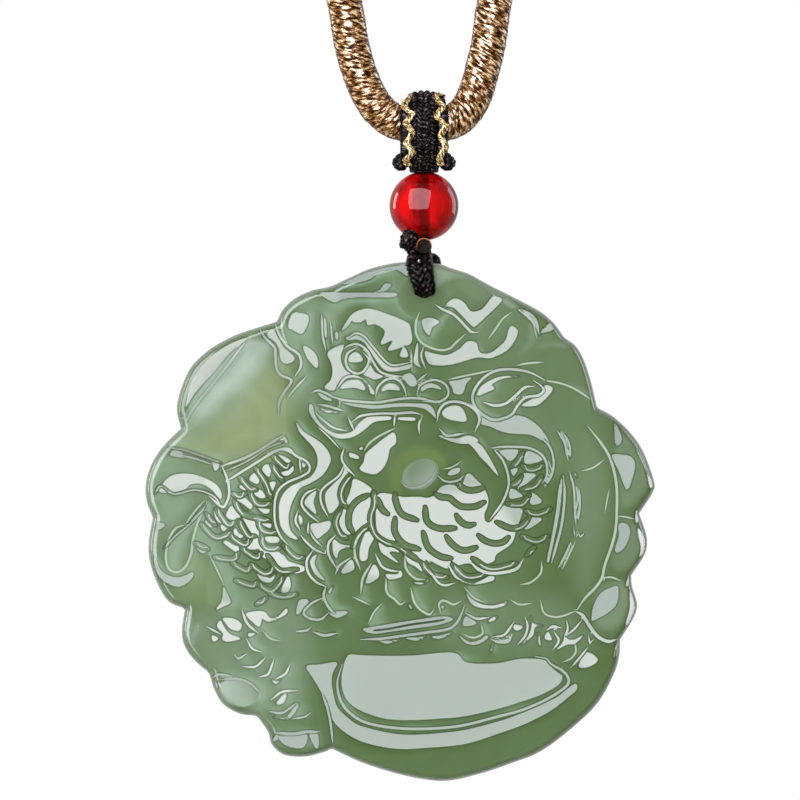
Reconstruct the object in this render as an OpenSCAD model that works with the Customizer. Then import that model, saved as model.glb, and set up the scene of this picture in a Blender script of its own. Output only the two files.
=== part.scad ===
// Carved jade pendant on a wound cord, with a woven bail, a red agate bead and a thread.
// All lengths are in millimetres. X is to the right, Z is up, and the front looks toward -Y.
// The origin is on the inner side of the clasp, where the loop sits at the back of the neck.
// The carving is laid out on a drawing grid: X to the right, Y downwards, 10 squares to
// 1 mm at the drawn size. Its places and widths are shares of jade_w and jade_h.

/* [Cord] */
// Thickness of the wound cord
cord_d = 3.5; // [2:0.1:5]
// Length of the barrel of the clasp
clasp_len = 20; // [12:0.5:30]
// Wall of the clasp around the cord
clasp_wall = 1; // [0.6:0.1:2]

/* [Bail] */
// Play between the cord and the inside of the bail
bail_play = 0.4; // [0.3:0.05:1]
// Width of the dark woven middle of the bail
bail_mid_w = 2.6; // [1.5:0.1:4]
// Thickness of the woven middle of the bail
bail_mid_t = 1.2; // [0.8:0.1:2]
// Thickness of the two sides of the bail under the gold edging
bail_side_t = 0.75; // [0.5:0.05:1.4]
// Width of the whole bail
bail_w = 4.6; // [3.6:0.1:7]
// Distance from the axis of the cord to the foot of the bail
bail_drop = 4.9; // [4:0.1:8]
// Width of the foot of the bail
foot_w = 3; // [2:0.1:5]
// Depth of the foot of the bail from front to back
foot_t = 3.2; // [2:0.1:5]
// Radius of the knotted bulges at the foot
bulge_r = 0.95; // [0.5:0.05:1.5]
// Width of a gold edging
gold_w = 0.85; // [0.5:0.05:1.5]
// Thickness of a gold edging
gold_t = 0.45; // [0.3:0.05:0.8]

/* [Bead and thread] */
// Diameter of the agate bead
bead_d = 6.9; // [5:0.1:12]
// Diameter of the thread in the bead
thread_d = 0.9; // [0.6:0.05:1.4]
// How far the top of the bead sits up in the foot of the bail
bead_seat = 0.25; // [0:0.05:0.6]
// Radius of the big lump of the knot
knot_r = 1.05; // [0.6:0.05:2]
// Radius of the small lumps of the knot
knot_small_r = 0.55; // [0.4:0.05:1]
// Radius of the melted end of the thread
end_r = 0.8; // [0.4:0.05:1.2]
// How far the melted end stands out
end_t = 0.8; // [0.4:0.05:2]
// Distance from the bottom of the bead to the top edge of the jade
loop_len = 2.2; // [2:0.1:8]
// Width of the hanging loop, which is two threads side by side
loop_w = 2.6; // [1.6:0.1:3.6]
// Thickness of the hanging loop
loop_t = 1.2; // [0.8:0.05:1.8]

/* [Jade] */
// Width of the jade
jade_w = 50.8; // [35:0.1:70]
// Height of the jade
jade_h = 51.8; // [35:0.1:70]
// Distance from the middle plane of the jade to its plain back
jade_back = 4.3; // [2.5:0.1:6]
// Distance from the middle plane of the jade to the floor of the carving
jade_floor = 2.9; // [2:0.1:5]
// Height of the highest mass of the carving above its floor
relief = 3.1; // [1.5:0.1:4]
// Half the thickness of the jade at its rim
rim_t = 0.5; // [0.3:0.1:1.5]
// Width of the rounded rim, seen from the front
rim_w = 2.4; // [1:0.1:5]
// Diameter of the hole for the thread
hole_d = 2; // [1.4:0.1:3]

/* [Hidden] */
// Gap between pieces that lie against one another
gap = 0.1;
$fn = 48;

// Route of the cord's centreline, X and height above its lowest place, from one end in the
// clasp to the other
cord_route = [
    [-7, 158], [-20, 158], [-41, 156.5], [-61, 149.5], [-75.5, 136.5], [-80.5, 120], [-76, 103.5],
    [-66.5, 89], [-43.9, 66], [-23.3, 45], [-16.5, 35], [-12, 26], [-9.4, 18], [-7.9, 12],
    [-7.3, 8.4], [-6.6, 5.7], [-5.6, 3.2], [-4.3, 1.3], [-2.8, 0.3], [-1.2, 0],
    [1.2, 0], [2.8, 0.3], [4.2, 1.4], [5.2, 3.3], [5.9, 5.8], [6.5, 8.4], [7, 12],
    [8.4, 18], [11, 26], [15.5, 35], [22.5, 45], [43.5, 66], [66.5, 89],
    [76, 103.5], [80.5, 120], [75.5, 136.5], [61, 149.5], [41, 156.5], [20, 158], [7, 158]
];
cord_r = cord_d / 2;
loop_h = cord_route[0][1];
cord_end_x = cord_route[len(cord_route) - 1][0];
clasp_r = cord_r + gap + clasp_wall;
pivot_z = clasp_r - loop_h;
cord_sides = 8;
cord_ring_step = 9;

bail_bore_r = cord_r + bail_play;
bail_mid_r = bail_bore_r + bail_mid_t;
bail_side_r = bail_bore_r + bail_side_t;
gold_x = (bail_mid_w + gold_w) / 2 + gap;
bulge_x = bail_w / 2 + bulge_r / 3;
bulge_up = 1.2 * bulge_r;
bulge_z = pivot_z - bail_drop + bulge_up;

bead_r = bead_d / 2;
thread_r = thread_d / 2;
bead_z = pivot_z - bail_drop + bead_seat - bead_r;
bead_bottom = bead_z - bead_r;
thread_top = pivot_z - bail_bore_r - (bail_drop - bail_bore_r) / 2;
knot_z = bead_bottom - gap - knot_small_r;
knot_socket = knot_small_r;
knot_front = -0.8;
end_z = knot_z + gap;
end_y = knot_front - knot_small_r - gap;

hole_r = hole_d / 2;

// The drawing grid: its size, its middle and the place of the hole
grid_w = 508;
grid_h = 518;
grid_mid = [400, 520];
grid_hole = [424, 287];
grid_top = 261;
jade_top = bead_bottom - loop_len;
hole_z = jade_top - (grid_hole[1] - grid_top) * jade_h / grid_h;

// Outline of the jade on the grid, clockwise. Each row is one lobe between two notches.
lobes = [
    [[277, 320], [283, 308], [295, 297], [312, 289], [330, 285], [350, 276], [371, 267],
     [400, 261], [433, 261], [452, 267], [470, 273], [490, 284], [514, 296], [540, 310],
     [554, 322], [564, 336]],
    [[564, 336], [575, 344], [583, 357], [590, 377], [597, 406]],
    [[597, 406], [613, 415], [630, 431], [643, 450], [654, 480], [652, 492], [639, 512]],
    [[639, 512], [645, 529], [647, 541], [644, 554], [631, 574]],
    [[631, 574], [632, 585], [637, 603], [633, 617], [620, 638]],
    [[620, 638], [619, 655], [613, 674], [597, 702], [570, 728], [540, 750], [510, 762],
     [480, 772], [448, 779], [420, 777], [390, 770], [360, 760], [332, 747]],
    [[332, 747], [322, 751], [304, 755], [284, 753], [272, 743], [268, 730], [257, 714]],
    [[257, 714], [240, 712], [224, 703], [215, 689], [209, 671]],
    [[209, 671], [195, 659], [185, 645], [182, 630], [185, 607]],
    [[185, 607], [169, 600], [158, 583], [150, 560], [149, 540], [153, 516]],
    [[153, 516], [147, 500], [146, 482], [152, 462], [164, 444], [181, 427]],
    [[181, 427], [177, 408], [181, 388], [191, 366], [207, 350], [221, 341], [240, 332],
     [277, 320]]
];
// Points worked out along one lobe
lobe_steps = [18, 7, 10, 6, 6, 19, 8, 6, 6, 9, 9, 12];
// The rings of the surface: evenly spaced ones inside, then the rounded rim
inner_rings = 30;
rim_rings = 5;
back_rings = 3;

// Share of the relief around the hole
hole_share = 0.25;
// The masses of the carving on the grid. Columns: name, X, Y, half width, half height,
// turn, share of the relief, squareness, share of the half width that is rounded off
masses = [
    ["wing",            231, 396,  57,  66,   0, 0.55, 2.2, 0.60],
    ["strand",          285, 349,  15,  34,  28, 0.50, 2.0, 0.60],
    ["head",            372, 368,  92,  80,   0, 0.55, 2.6, 0.22],
    ["left crest",      306, 330,  30,  34,   0, 0.55, 2.2, 0.50],
    ["top crest",       405, 290, 100,  22,   2, hole_share, 2.4, 0.50],
    ["nose",            480, 330,  68,  40,  10, 0.85, 2.4, 0.30],
    ["nostril",         440, 327,  26,  25,   0, 0.98, 2.2, 0.40],
    ["brow",            378, 322,  38,  20,   8, 0.80, 2.4, 0.40],
    ["eye",             357, 358,  15,  15,   0, 0.85, 2.0, 0.60],
    ["lip",             384, 392,  72,  18,   0, 0.88, 3.0, 0.25],
    ["jaw",             357, 424,  47,  24,   0, 0.75, 2.4, 0.35],
    ["cheek ball",      459, 419,  20,  20,   0, 0.88, 2.0, 0.50],
    ["ear",             509, 393,  39,  24,  -8, 0.92, 2.4, 0.40],
    ["cheek",           520, 440,  42,  28,  18, 0.62, 2.4, 0.30],
    ["pearl",           419, 472,  20,  16,   0, 1.00, 2.0, 0.80],
    ["beard",           378, 452,  26,  22,   0, 0.62, 2.2, 0.40],
    ["mane",            304, 455,  26,  58,   8, 0.48, 2.4, 0.40],
    ["scroll",          316, 512,  42,  42,   0, 0.60, 2.2, 0.30],
    ["whisker",         480, 480,  32,  50,   8, 0.62, 2.4, 0.40],
    ["flank",           565, 470,  68, 130,   0, 0.35, 2.6, 0.30],
    ["haunch",          260, 545,  70,  92,   0, 0.40, 2.3, 0.35],
    ["chest",           410, 555, 140,  74,   0, 0.50, 2.6, 0.25],
    ["thigh",           530, 625,  82,  40,  -4, 0.62, 2.5, 0.40],
    ["strap",           408, 627,  50,  14,  -6, 0.55, 3.0, 0.30],
    ["panel rim",       448, 692, 128,  50,  -8, 0.32, 2.6, 0.20],
    ["panel",           450, 685, 112,  35,  -4, 0.55, 3.2, 0.08],
    ["paw",             232, 637,  48,  34,   0, 0.50, 2.3, 0.45],
    ["toe",             238, 691,  26,  20,   0, 0.50, 2.0, 0.90],
    ["shin",            290, 690,  32,  46, -14, 0.45, 2.4, 0.35],
    ["foot",            298, 736,  28,  18,   0, 0.55, 2.8, 0.35],
    ["tail tip",        175, 552,  25,  48,   0, 0.38, 2.2, 0.60],
    ["tail",            184, 490,  40,  30,   0, 0.42, 2.2, 0.60],
    ["upper lobe",      572, 378,  40,  44,   0, 0.30, 2.2, 0.50],
    ["first edge lobe", 627, 468,  24,  38, -14, 0.34, 2.0, 0.80],
    ["next edge lobe",  626, 541,  20,  32,   6, 0.34, 2.0, 0.80],
    ["last edge lobe",  606, 606,  26,  34,  30, 0.34, 2.0, 0.80]
];

/* [Part] */
// The sub-part to draw, or all of them

/* [Hidden] */

// Curves

// A point between b and c on a smooth curve through a, b, c and d
function between(a, b, c, d, t) =
    0.5 * (2 * b + (c - a) * t + (2 * a - 5 * b + 4 * c - d) * t * t
        + (3 * b - a - 3 * c + d) * t * t * t);

// A list of points with one more at each end, in line with its first and last two
function lengthened(p) = [
    2 * p[0] - p[1],
    each p,
    2 * p[len(p) - 1] - p[len(p) - 2]
];

// The point at place s of a smooth curve through a list of points, s from 0 to 1
function at_share(p, s) =
    let (
        q = lengthened(p),
        last = len(p) - 1,
        i = min(last - 1, floor(s * last)),
        t = s * last - i
    )
    between(q[i], q[i + 1], q[i + 2], q[i + 3], t);

// A smooth curve through a list of points, with about one step a given length
function curve(p, step) =
    let (q = lengthened(p), last = len(p) - 1)
    [
        for (i = [0 : last - 1])
            let (n = max(1, ceil(norm(p[i + 1] - p[i]) / step)))
                for (k = [0 : n - 1]) between(q[i], q[i + 1], q[i + 2], q[i + 3], k / n),
        p[last]
    ];

// Direction of a list of points at place i
function direction(p, i) =
    let (a = p[max(0, i - 1)], b = p[min(len(p) - 1, i + 1)])
    (b - a) / norm(b - a);

// Closed skin over rings of points, each ring a list of the same length
module skin(rings) {
    n = len(rings[0]);
    m = len(rings);
    sides = [
        for (i = [0 : m - 2], k = [0 : n - 1])
            let (a = i * n + k, b = i * n + (k + 1) % n)
                each [[a, b, b + n], [a, b + n, a + n]]
    ];
    polyhedron(
        points = [for (r = rings) each r],
        faces = [
            each sides,
            [for (k = [n - 1 : -1 : 0]) k],
            [for (k = [0 : n - 1]) (m - 1) * n + k]
        ]
    );
}

// Cord and clasp

module necklace_cord() {
    route = curve(cord_route, cord_ring_step);
    rings = [
        for (i = [0 : len(route) - 1])
            let (d = direction(route, i))
                [
                    for (k = [0 : cord_sides - 1])
                        let (
                            turn = 360 * (k + 0.5) / cord_sides,
                            side = cord_r * cos(turn),
                            out = cord_r * sin(turn)
                        )
                            [
                                route[i][0] - d[1] * side,
                                out,
                                route[i][1] + d[0] * side + pivot_z
                            ]
                ]
    ];
    color([0.55, 0.38, 0.2]) skin(rings);
}

module cord_clasp() {
    socket_x = cord_end_x - gap;
    color([0.78, 0.62, 0.34])
        translate([0, 0, clasp_r])
            difference() {
                rotate([0, 90, 0]) cylinder(r = clasp_r, h = clasp_len, center = true);
                for (side = [0, 180])
                    rotate([0, 90, side])
                        translate([0, 0, socket_x])
                            cylinder(r = cord_r + gap, h = clasp_len);
            }
}

// Bail

// A slab of the bail: a round top of radius r over legs of a length, w wide
module bail_slab(r, leg, w) {
    translate([0, 0, pivot_z])
        rotate([90, 0, 90])
            linear_extrude(height = w, center = true) {
                circle(r);
                translate([-foot_t / 2, -leg]) square([foot_t, leg]);
            }
}

module bail_band() {
    color([0.14, 0.08, 0.1])
        difference() {
            union() {
                bail_slab(bail_mid_r, bail_drop, bail_mid_w);
                bail_slab(bail_side_r, bail_drop - bulge_up, bail_w);
                bail_slab(bail_bore_r, bail_drop, foot_w);
                for (side = [-1, 1])
                    translate([side * bulge_x, 0, bulge_z]) sphere(bulge_r);
            }
            translate([0, 0, pivot_z])
                rotate([0, 90, 0]) cylinder(r = bail_bore_r, h = 2 * bail_w, center = true);
            translate([0, 0, bead_z]) sphere(bead_r + gap);
            translate([0, 0, bead_z]) cylinder(r = thread_r + gap, h = thread_top + gap - bead_z);
        }
}

// One gold edging: a strip over the side of the bail, front, top and back
module bail_gold(side) {
    inner = bail_side_r + gap;
    outer = inner + gold_t;
    color([0.78, 0.62, 0.34])
        translate([side * gold_x, 0, pivot_z])
            rotate([90, 0, 90])
                linear_extrude(height = gold_w, center = true)
                    difference() {
                        circle(outer);
                        circle(inner);
                        translate([-outer, -outer - bail_bore_r]) square([2 * outer, outer]);
                    }
}

module bail_gold_left() {
    bail_gold(-1);
}

module bail_gold_right() {
    bail_gold(1);
}

// Bead and thread

module agate_bead() {
    color([0.67, 0.03, 0.03])
        difference() {
            translate([0, 0, bead_z]) sphere(bead_r);
            translate([0, 0, bead_z])
                cylinder(r = thread_r + gap, h = 2 * bead_d, center = true);
        }
}

module bead_thread() {
    thread_bottom = knot_z - knot_socket / 2 + gap;
    color([0.14, 0.08, 0.1])
        translate([0, 0, thread_bottom]) cylinder(r = thread_r, h = thread_top - thread_bottom);
}

module thread_knot() {
    color([0.14, 0.08, 0.1])
        difference() {
            hull() {
                translate([0, 0, knot_z]) sphere(r = knot_small_r, $fn = 24);
                translate([0, knot_front, knot_z]) sphere(r = knot_small_r, $fn = 24);
                translate([-1.35 * knot_r, -1.8 * knot_r, bead_bottom])
                    sphere(r = knot_r, $fn = 24);
            }
            translate([0, 0, bead_z]) sphere(bead_r + gap);
            translate([0, 0, knot_z - knot_socket / 2])
                cylinder(r = thread_r + gap, h = bead_r);
            translate([0, end_y + gap, end_z])
                rotate([90, 0, 0]) cylinder(r = end_r + gap, h = bead_d);
        }
}

module thread_end() {
    color([0.2, 0.1, 0.08])
        translate([0, end_y, end_z])
            rotate([90, 0, 0]) cylinder(r1 = end_r, r2 = 0.75 * end_r, h = end_t);
}

// Hanging loop

// Rows of the loop's route, from the knot down the front, through the hole and up behind.
// Columns: X, Y, Z, half width, half thickness
function loop_rows() =
    let (
        front = jade_floor + relief * hole_share + gap + loop_t / 2,
        back = jade_back + gap + loop_t / 2,
        w = loop_w / 2,
        t = loop_t / 2,
        in_w = hole_r - 0.3,
        in_t = hole_r - 0.45,
        turn_z = hole_z + 0.35,
        mid_z = (jade_top + hole_z) / 2
    )
    [
        [-0.4, -0.25 * front, jade_top + 0.45, 0.6 * w, 0.5 * t],
        [-0.45, -0.46 * front, jade_top + 0.3, 0.9 * w, 0.65 * t],
        [-0.5, -0.71 * front, jade_top - 0.2, w, 0.85 * t],
        [-0.45, -0.9 * front, jade_top - 0.9, w, t],
        [-0.2, -front - 0.05, mid_z - 0.3, 0.85 * w, t],
        [0, -front + 0.1, turn_z, 0.9 * in_w, in_t],
        [0, -front + 1.0, hole_z, in_w, in_t],
        [0, 0, hole_z, in_w, in_t],
        [0, back - 1.0, hole_z, in_w, in_t],
        [0.1, back - 0.1, turn_z, 0.9 * in_w, in_t],
        [0.3, back + 0.05, mid_z - 0.3, 0.8 * w, t],
        [0.5, 0.88 * back, jade_top - 0.9, 0.8 * w, t],
        [0.6, 0.68 * back, jade_top - 0.2, 0.8 * w, 0.85 * t],
        [0.6, 0.42 * back, jade_top + 0.3, 0.7 * w, 0.65 * t],
        [0.5, 0.2 * back, jade_top + 0.45, 0.5 * w, 0.5 * t]
    ];

module hanging_loop() {
    rows = loop_rows();
    sides = 12;
    mid = [for (r = rows) [r[1], r[2]]];
    color([0.14, 0.08, 0.1])
        skin([
            for (i = [0 : len(rows) - 1])
                let (d = direction(mid, i))
                    [
                        for (k = [0 : sides - 1])
                            let (
                                across = rows[i][3] * cos(360 * k / sides),
                                out = rows[i][4] * sin(360 * k / sides)
                            )
                                [
                                    rows[i][0] + across,
                                    rows[i][1] + d[1] * out,
                                    rows[i][2] - d[0] * out
                                ]
                    ]
        ]);
}

// Jade

// The place of a point of the grid in the part, as X and Z
function placed(g) = [
    (g[0] - grid_hole[0]) * jade_w / grid_w,
    hole_z + (grid_hole[1] - g[1]) * jade_h / grid_h
];

// The outline as one closed list of points of the grid
outline = [
    for (i = [0 : len(lobes) - 1], k = [0 : lobe_steps[i] - 1])
        at_share(lobes[i], k / lobe_steps[i])
];

// Share of the relief that one mass gives at a point of the grid
function mass_at(g, m) =
    let (
        dx = g[0] - m[1],
        dy = g[1] - m[2],
        u = (dx * cos(m[5]) + dy * sin(m[5])) / m[3],
        v = (dy * cos(m[5]) - dx * sin(m[5])) / m[4],
        r = pow(pow(abs(u), m[7]) + pow(abs(v), m[7]), 1 / m[7]),
        e = (r - 1 + m[8]) / m[8]
    )
    r >= 1 ? 0 : e <= 0 ? m[6] : m[6] * sqrt(1 - e * e);

// Height of the front over the middle plane at a point of the grid
function front_at(g) = jade_floor + relief * max([for (m = masses) mass_at(g, m)]);

// Share of the full height at a share of the way from the middle to the outline
rim_share = rim_w / (jade_w / 2);
function rim_at(t) =
    let (e = (t - 1 + rim_share) / rim_share)
    e <= 0 ? 1 : sqrt(max(0, 1 - e * e));

// Shares of the way from the middle to the outline for the rings of the front
front_shares = [
    for (i = [1 : inner_rings]) (1 - rim_share) * i / inner_rings,
    for (i = [1 : rim_rings]) 1 - rim_share * (1 - sin(90 * i / rim_rings))
];
// The same for the back, from the rim to the middle
back_shares = [
    for (i = [rim_rings - 1 : -1 : 0]) 1 - rim_share * (1 - sin(90 * i / rim_rings)),
    for (i = [back_rings - 1 : -1 : 1]) (1 - rim_share) * i / back_rings
];

function ring(t, front) = [
    for (o = outline)
        let (
            g = grid_mid + t * (o - grid_mid),
            p = placed(g),
            full = front ? -front_at(g) : jade_back,
            edge = front ? -rim_t : rim_t
        )
            [p[0], edge + (full - edge) * rim_at(t), p[1]]
];

module jade_body() {
    n = len(outline);
    m = len(front_shares) + len(back_shares);
    mid = placed(grid_mid);
    sides = [
        for (i = [0 : m - 2], k = [0 : n - 1])
            let (a = 1 + i * n + k, b = 1 + i * n + (k + 1) % n)
                each [[a, b + n, b], [a, a + n, b + n]]
    ];
    front_cap = [for (k = [0 : n - 1]) [0, 1 + k, 1 + (k + 1) % n]];
    back_cap = [
        for (k = [0 : n - 1])
            [1 + m * n, 1 + (m - 1) * n + (k + 1) % n, 1 + (m - 1) * n + k]
    ];
    polyhedron(
        points = [
            [mid[0], -front_at(grid_mid), mid[1]],
            for (t = front_shares) each ring(t, true),
            for (t = back_shares) each ring(t, false),
            [mid[0], jade_back, mid[1]]
        ],
        faces = [each front_cap, each sides, each back_cap]
    );
}

module jade_pendant() {
    color([0.47, 0.6, 0.42])
        difference() {
            jade_body();
            translate([0, 0, hole_z])
                rotate([90, 0, 0]) cylinder(r = hole_r, h = 40, center = true);
        }
}

necklace_cord();
cord_clasp();
bail_band();
bail_gold_left();
bail_gold_right();
agate_bead();
bead_thread();
thread_knot();
thread_end();
hanging_loop();
jade_pendant();
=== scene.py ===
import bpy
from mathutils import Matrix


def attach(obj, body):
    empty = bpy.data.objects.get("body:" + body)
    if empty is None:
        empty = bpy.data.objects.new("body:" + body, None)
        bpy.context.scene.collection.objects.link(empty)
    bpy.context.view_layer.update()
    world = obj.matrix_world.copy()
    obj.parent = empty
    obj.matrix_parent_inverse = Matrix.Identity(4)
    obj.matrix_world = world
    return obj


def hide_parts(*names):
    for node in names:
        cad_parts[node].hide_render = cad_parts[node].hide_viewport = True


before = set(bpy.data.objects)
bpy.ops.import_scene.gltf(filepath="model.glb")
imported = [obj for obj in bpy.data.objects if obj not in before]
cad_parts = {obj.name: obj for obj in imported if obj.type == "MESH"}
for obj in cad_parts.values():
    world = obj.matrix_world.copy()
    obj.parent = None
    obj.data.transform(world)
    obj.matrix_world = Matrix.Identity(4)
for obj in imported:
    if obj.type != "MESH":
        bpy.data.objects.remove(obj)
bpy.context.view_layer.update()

import math

import bmesh
import bpy
import numpy as np
from mathutils import Matrix, Vector, noise

scene = bpy.context.scene

# ---- camera, floor and light
# The necklace hangs free in front of a white room, seen straight from the front through a
# long lens. A big soft square light stands up and to the left behind the camera.
SEEN = 0.080
SEEN_MID = Vector((-0.0024, 0.0, -0.18265))
EYE_AWAY = 0.9

camera_data = bpy.data.cameras.new("camera")
camera_data.sensor_width = 36
camera_data.lens = 36 * EYE_AWAY / SEEN
camera_data.clip_start = 0.05
camera = bpy.data.objects.new("camera", camera_data)
camera.location = SEEN_MID + Vector((0, -EYE_AWAY, 0))
camera.rotation_euler = (math.pi / 2, 0, 0)
scene.collection.objects.link(camera)
scene.camera = camera
scene.view_settings.view_transform = "Standard"


def feed(made, inputs):
    """Sets a node's inputs, by name or number, or joins them to sockets of other nodes."""
    for name, value in inputs.items():
        if isinstance(value, bpy.types.NodeSocket):
            made.id_data.links.new(value, made.inputs[name])
        else:
            made.inputs[name].default_value = value
    return made


def node(tree, kind, inputs=(), **settings):
    """Adds one node with its settings and its inputs."""
    made = tree.nodes.new(kind)
    for name, value in settings.items():
        setattr(made, name, value)
    return feed(made, dict(inputs))


def sum_of(operation, *values):
    """A math node. Each value is a socket or a number, and at least one is a socket."""
    tree = next(v.id_data for v in values if isinstance(v, bpy.types.NodeSocket))
    return node(tree, "ShaderNodeMath", enumerate(values), operation=operation).outputs[0]


def spread(value, seen, given=(0, 1), kind="SMOOTHSTEP"):
    """Takes a socket's values from the range seen to the range given."""
    limits = zip(("From Min", "From Max", "To Min", "To Max"), (*seen, *given))
    return node(value.id_data, "ShaderNodeMapRange", [("Value", value), *limits],
                interpolation_type=kind).outputs[0]


def principled(name):
    """A new material, with its node tree and its shader."""
    made = bpy.data.materials.new(name)
    made.use_nodes = True
    return made, made.node_tree, made.node_tree.nodes["Principled BSDF"]


def finished_mesh(name, bm, material):
    """Turns a bmesh into a smooth object at the origin with one material."""
    bmesh.ops.recalc_face_normals(bm, faces=bm.faces)
    for face in bm.faces:
        face.smooth = True
    mesh = bpy.data.meshes.new(name)
    bm.to_mesh(mesh)
    bm.free()
    mesh.materials.append(material)
    made = bpy.data.objects.new(name, mesh)
    scene.collection.objects.link(made)
    return made


FLOOR_Z = -0.30
floor_paint, tree, shader = principled("floor_paint")
feed(shader, {"Base Color": (0.86, 0.86, 0.85, 1), "Roughness": 0.7})
bm = bmesh.new()
bmesh.ops.create_grid(bm, x_segments=2, y_segments=2, size=1.5)
bmesh.ops.translate(bm, verts=bm.verts, vec=(0, 0, FLOOR_Z))
floor = finished_mesh("floor", bm, floor_paint)
floor.visible_glossy = False


def soft_light(name, place, wide, high, watts, colour):
    """A flat light at a place seen from the middle of the picture, which it faces."""
    data = bpy.data.lights.new(name, "AREA")
    data.shape = "RECTANGLE"
    data.size = wide
    data.size_y = high
    data.energy = watts
    data.color = colour
    made = bpy.data.objects.new(name, data)
    made.location = SEEN_MID + place
    made.rotation_euler = place.to_track_quat("Z", "Y").to_euler()
    made.visible_camera = False
    scene.collection.objects.link(made)


LAMP_AWAY = 1.2
LAMP_LEFT = math.radians(18)
LAMP_UP = math.radians(25)
LAMP_WIDE = 2 * LAMP_AWAY * math.tan(math.radians(36))
lamp_way = Vector((-math.sin(LAMP_LEFT) * math.cos(LAMP_UP),
                   -math.cos(LAMP_LEFT) * math.cos(LAMP_UP), math.sin(LAMP_UP)))
soft_light("soft_square", lamp_way * LAMP_AWAY, LAMP_WIDE, LAMP_WIDE, 64, (0.94, 0.97, 1.0))
# Two tall narrow lights stand beside it and a little behind, and only touch its edges
for name, turn, wide, high, watts, colour in (
        ("left_strip", -118, 8, 14, 2.6, (1.0, 1.0, 1.0)),
        ("right_strip", 122, 11, 22, 3.0, (0.78, 0.90, 1.0))):
    side_way = Vector((math.sin(math.radians(turn)), -math.cos(math.radians(turn)), 0.2))
    soft_light(name, side_way, 2 * math.tan(math.radians(wide)),
               2 * math.tan(math.radians(high)), watts, colour)

# The room is bright behind the necklace and dim in front of it
room = bpy.data.worlds.new("room")
room.use_nodes = True
scene.world = room
tree = room.node_tree
tree.nodes.clear()
parts = node(tree, "ShaderNodeSeparateXYZ",
             {0: node(tree, "ShaderNodeTexCoord").outputs["Generated"]}).outputs
bright = sum_of("MAXIMUM", node(tree, "ShaderNodeLightPath").outputs["Is Camera Ray"],
                spread(parts["Y"], (-0.1, 0.7), (0.22, 0.5)))
room_light = node(tree, "ShaderNodeBackground", {"Color": (1, 1, 1, 1), "Strength": bright})
node(tree, "ShaderNodeOutputWorld", {"Surface": room_light.outputs[0]})

# ---- wound cord
# The thick cord is a soft core wound closely with a flat gold-brown silk thread. It runs in
# one loop from one end of the clasp, through the bail, and back into the other end.
CORD_D = 0.0035
CLASP_R = 0.00285
LOOP_H = 0.158
PIVOT_Z = CLASP_R - LOOP_H
CORD_ROUTE = [
    (-20, 158), (-41, 156.5), (-61, 149.5), (-75.5, 136.5), (-80.5, 120), (-76, 103.5),
    (-66.5, 89), (-43.9, 66), (-23.3, 45), (-16.5, 35), (-12, 26), (-9.4, 18), (-7.9, 12),
    (-7.3, 8.4), (-6.6, 5.7), (-5.6, 3.2), (-4.3, 1.3), (-2.8, 0.3), (-1.2, 0),
    (1.2, 0), (2.8, 0.3), (4.2, 1.4), (5.2, 3.3), (5.9, 5.8), (6.5, 8.4), (7, 12),
    (8.4, 18), (11, 26), (15.5, 35), (22.5, 45), (43.5, 66), (66.5, 89),
    (76, 103.5), (80.5, 120), (75.5, 136.5), (61, 149.5), (41, 156.5), (20, 158),
]


def smooth_line(points, step, closed=False):
    """A smooth line through the points, with about one point a step."""
    pts = [Vector(p) for p in points]
    if closed:
        ends = [pts[-1]] + pts + [pts[0], pts[1]]
    else:
        ends = [2 * pts[0] - pts[1]] + pts + [2 * pts[-1] - pts[-2]]
    line = []
    for a, b, c, d in zip(ends, ends[1:], ends[2:], ends[3:]):
        count = max(1, math.ceil((c - b).length / step))
        for k in range(count):
            t = k / count
            line.append(0.5 * (2 * b + (c - a) * t + (2 * a - 5 * b + 4 * c - d) * t * t
                               + (3 * b - a - 3 * c + d) * t ** 3))
    return line if closed else line + [pts[-1]]


def run_along(line):
    """How far along the line each of its points is."""
    run = [0.0]
    for a, b in zip(line, line[1:]):
        run.append(run[-1] + (b - a).length)
    return run


def even_line(line, step):
    """The same line with its points evenly spaced."""
    run = run_along(line)
    places = np.linspace(0, run[-1], max(2, round(run[-1] / step)) + 1)
    return [Vector(p) for p in zip(*(np.interp(places, run, [p[axis] for p in line])
                                     for axis in range(3)))]


def way_at(line, i):
    """Which way a line runs at one of its points."""
    return (line[min(len(line) - 1, i + 1)] - line[max(0, i - 1)]).normalized()


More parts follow.
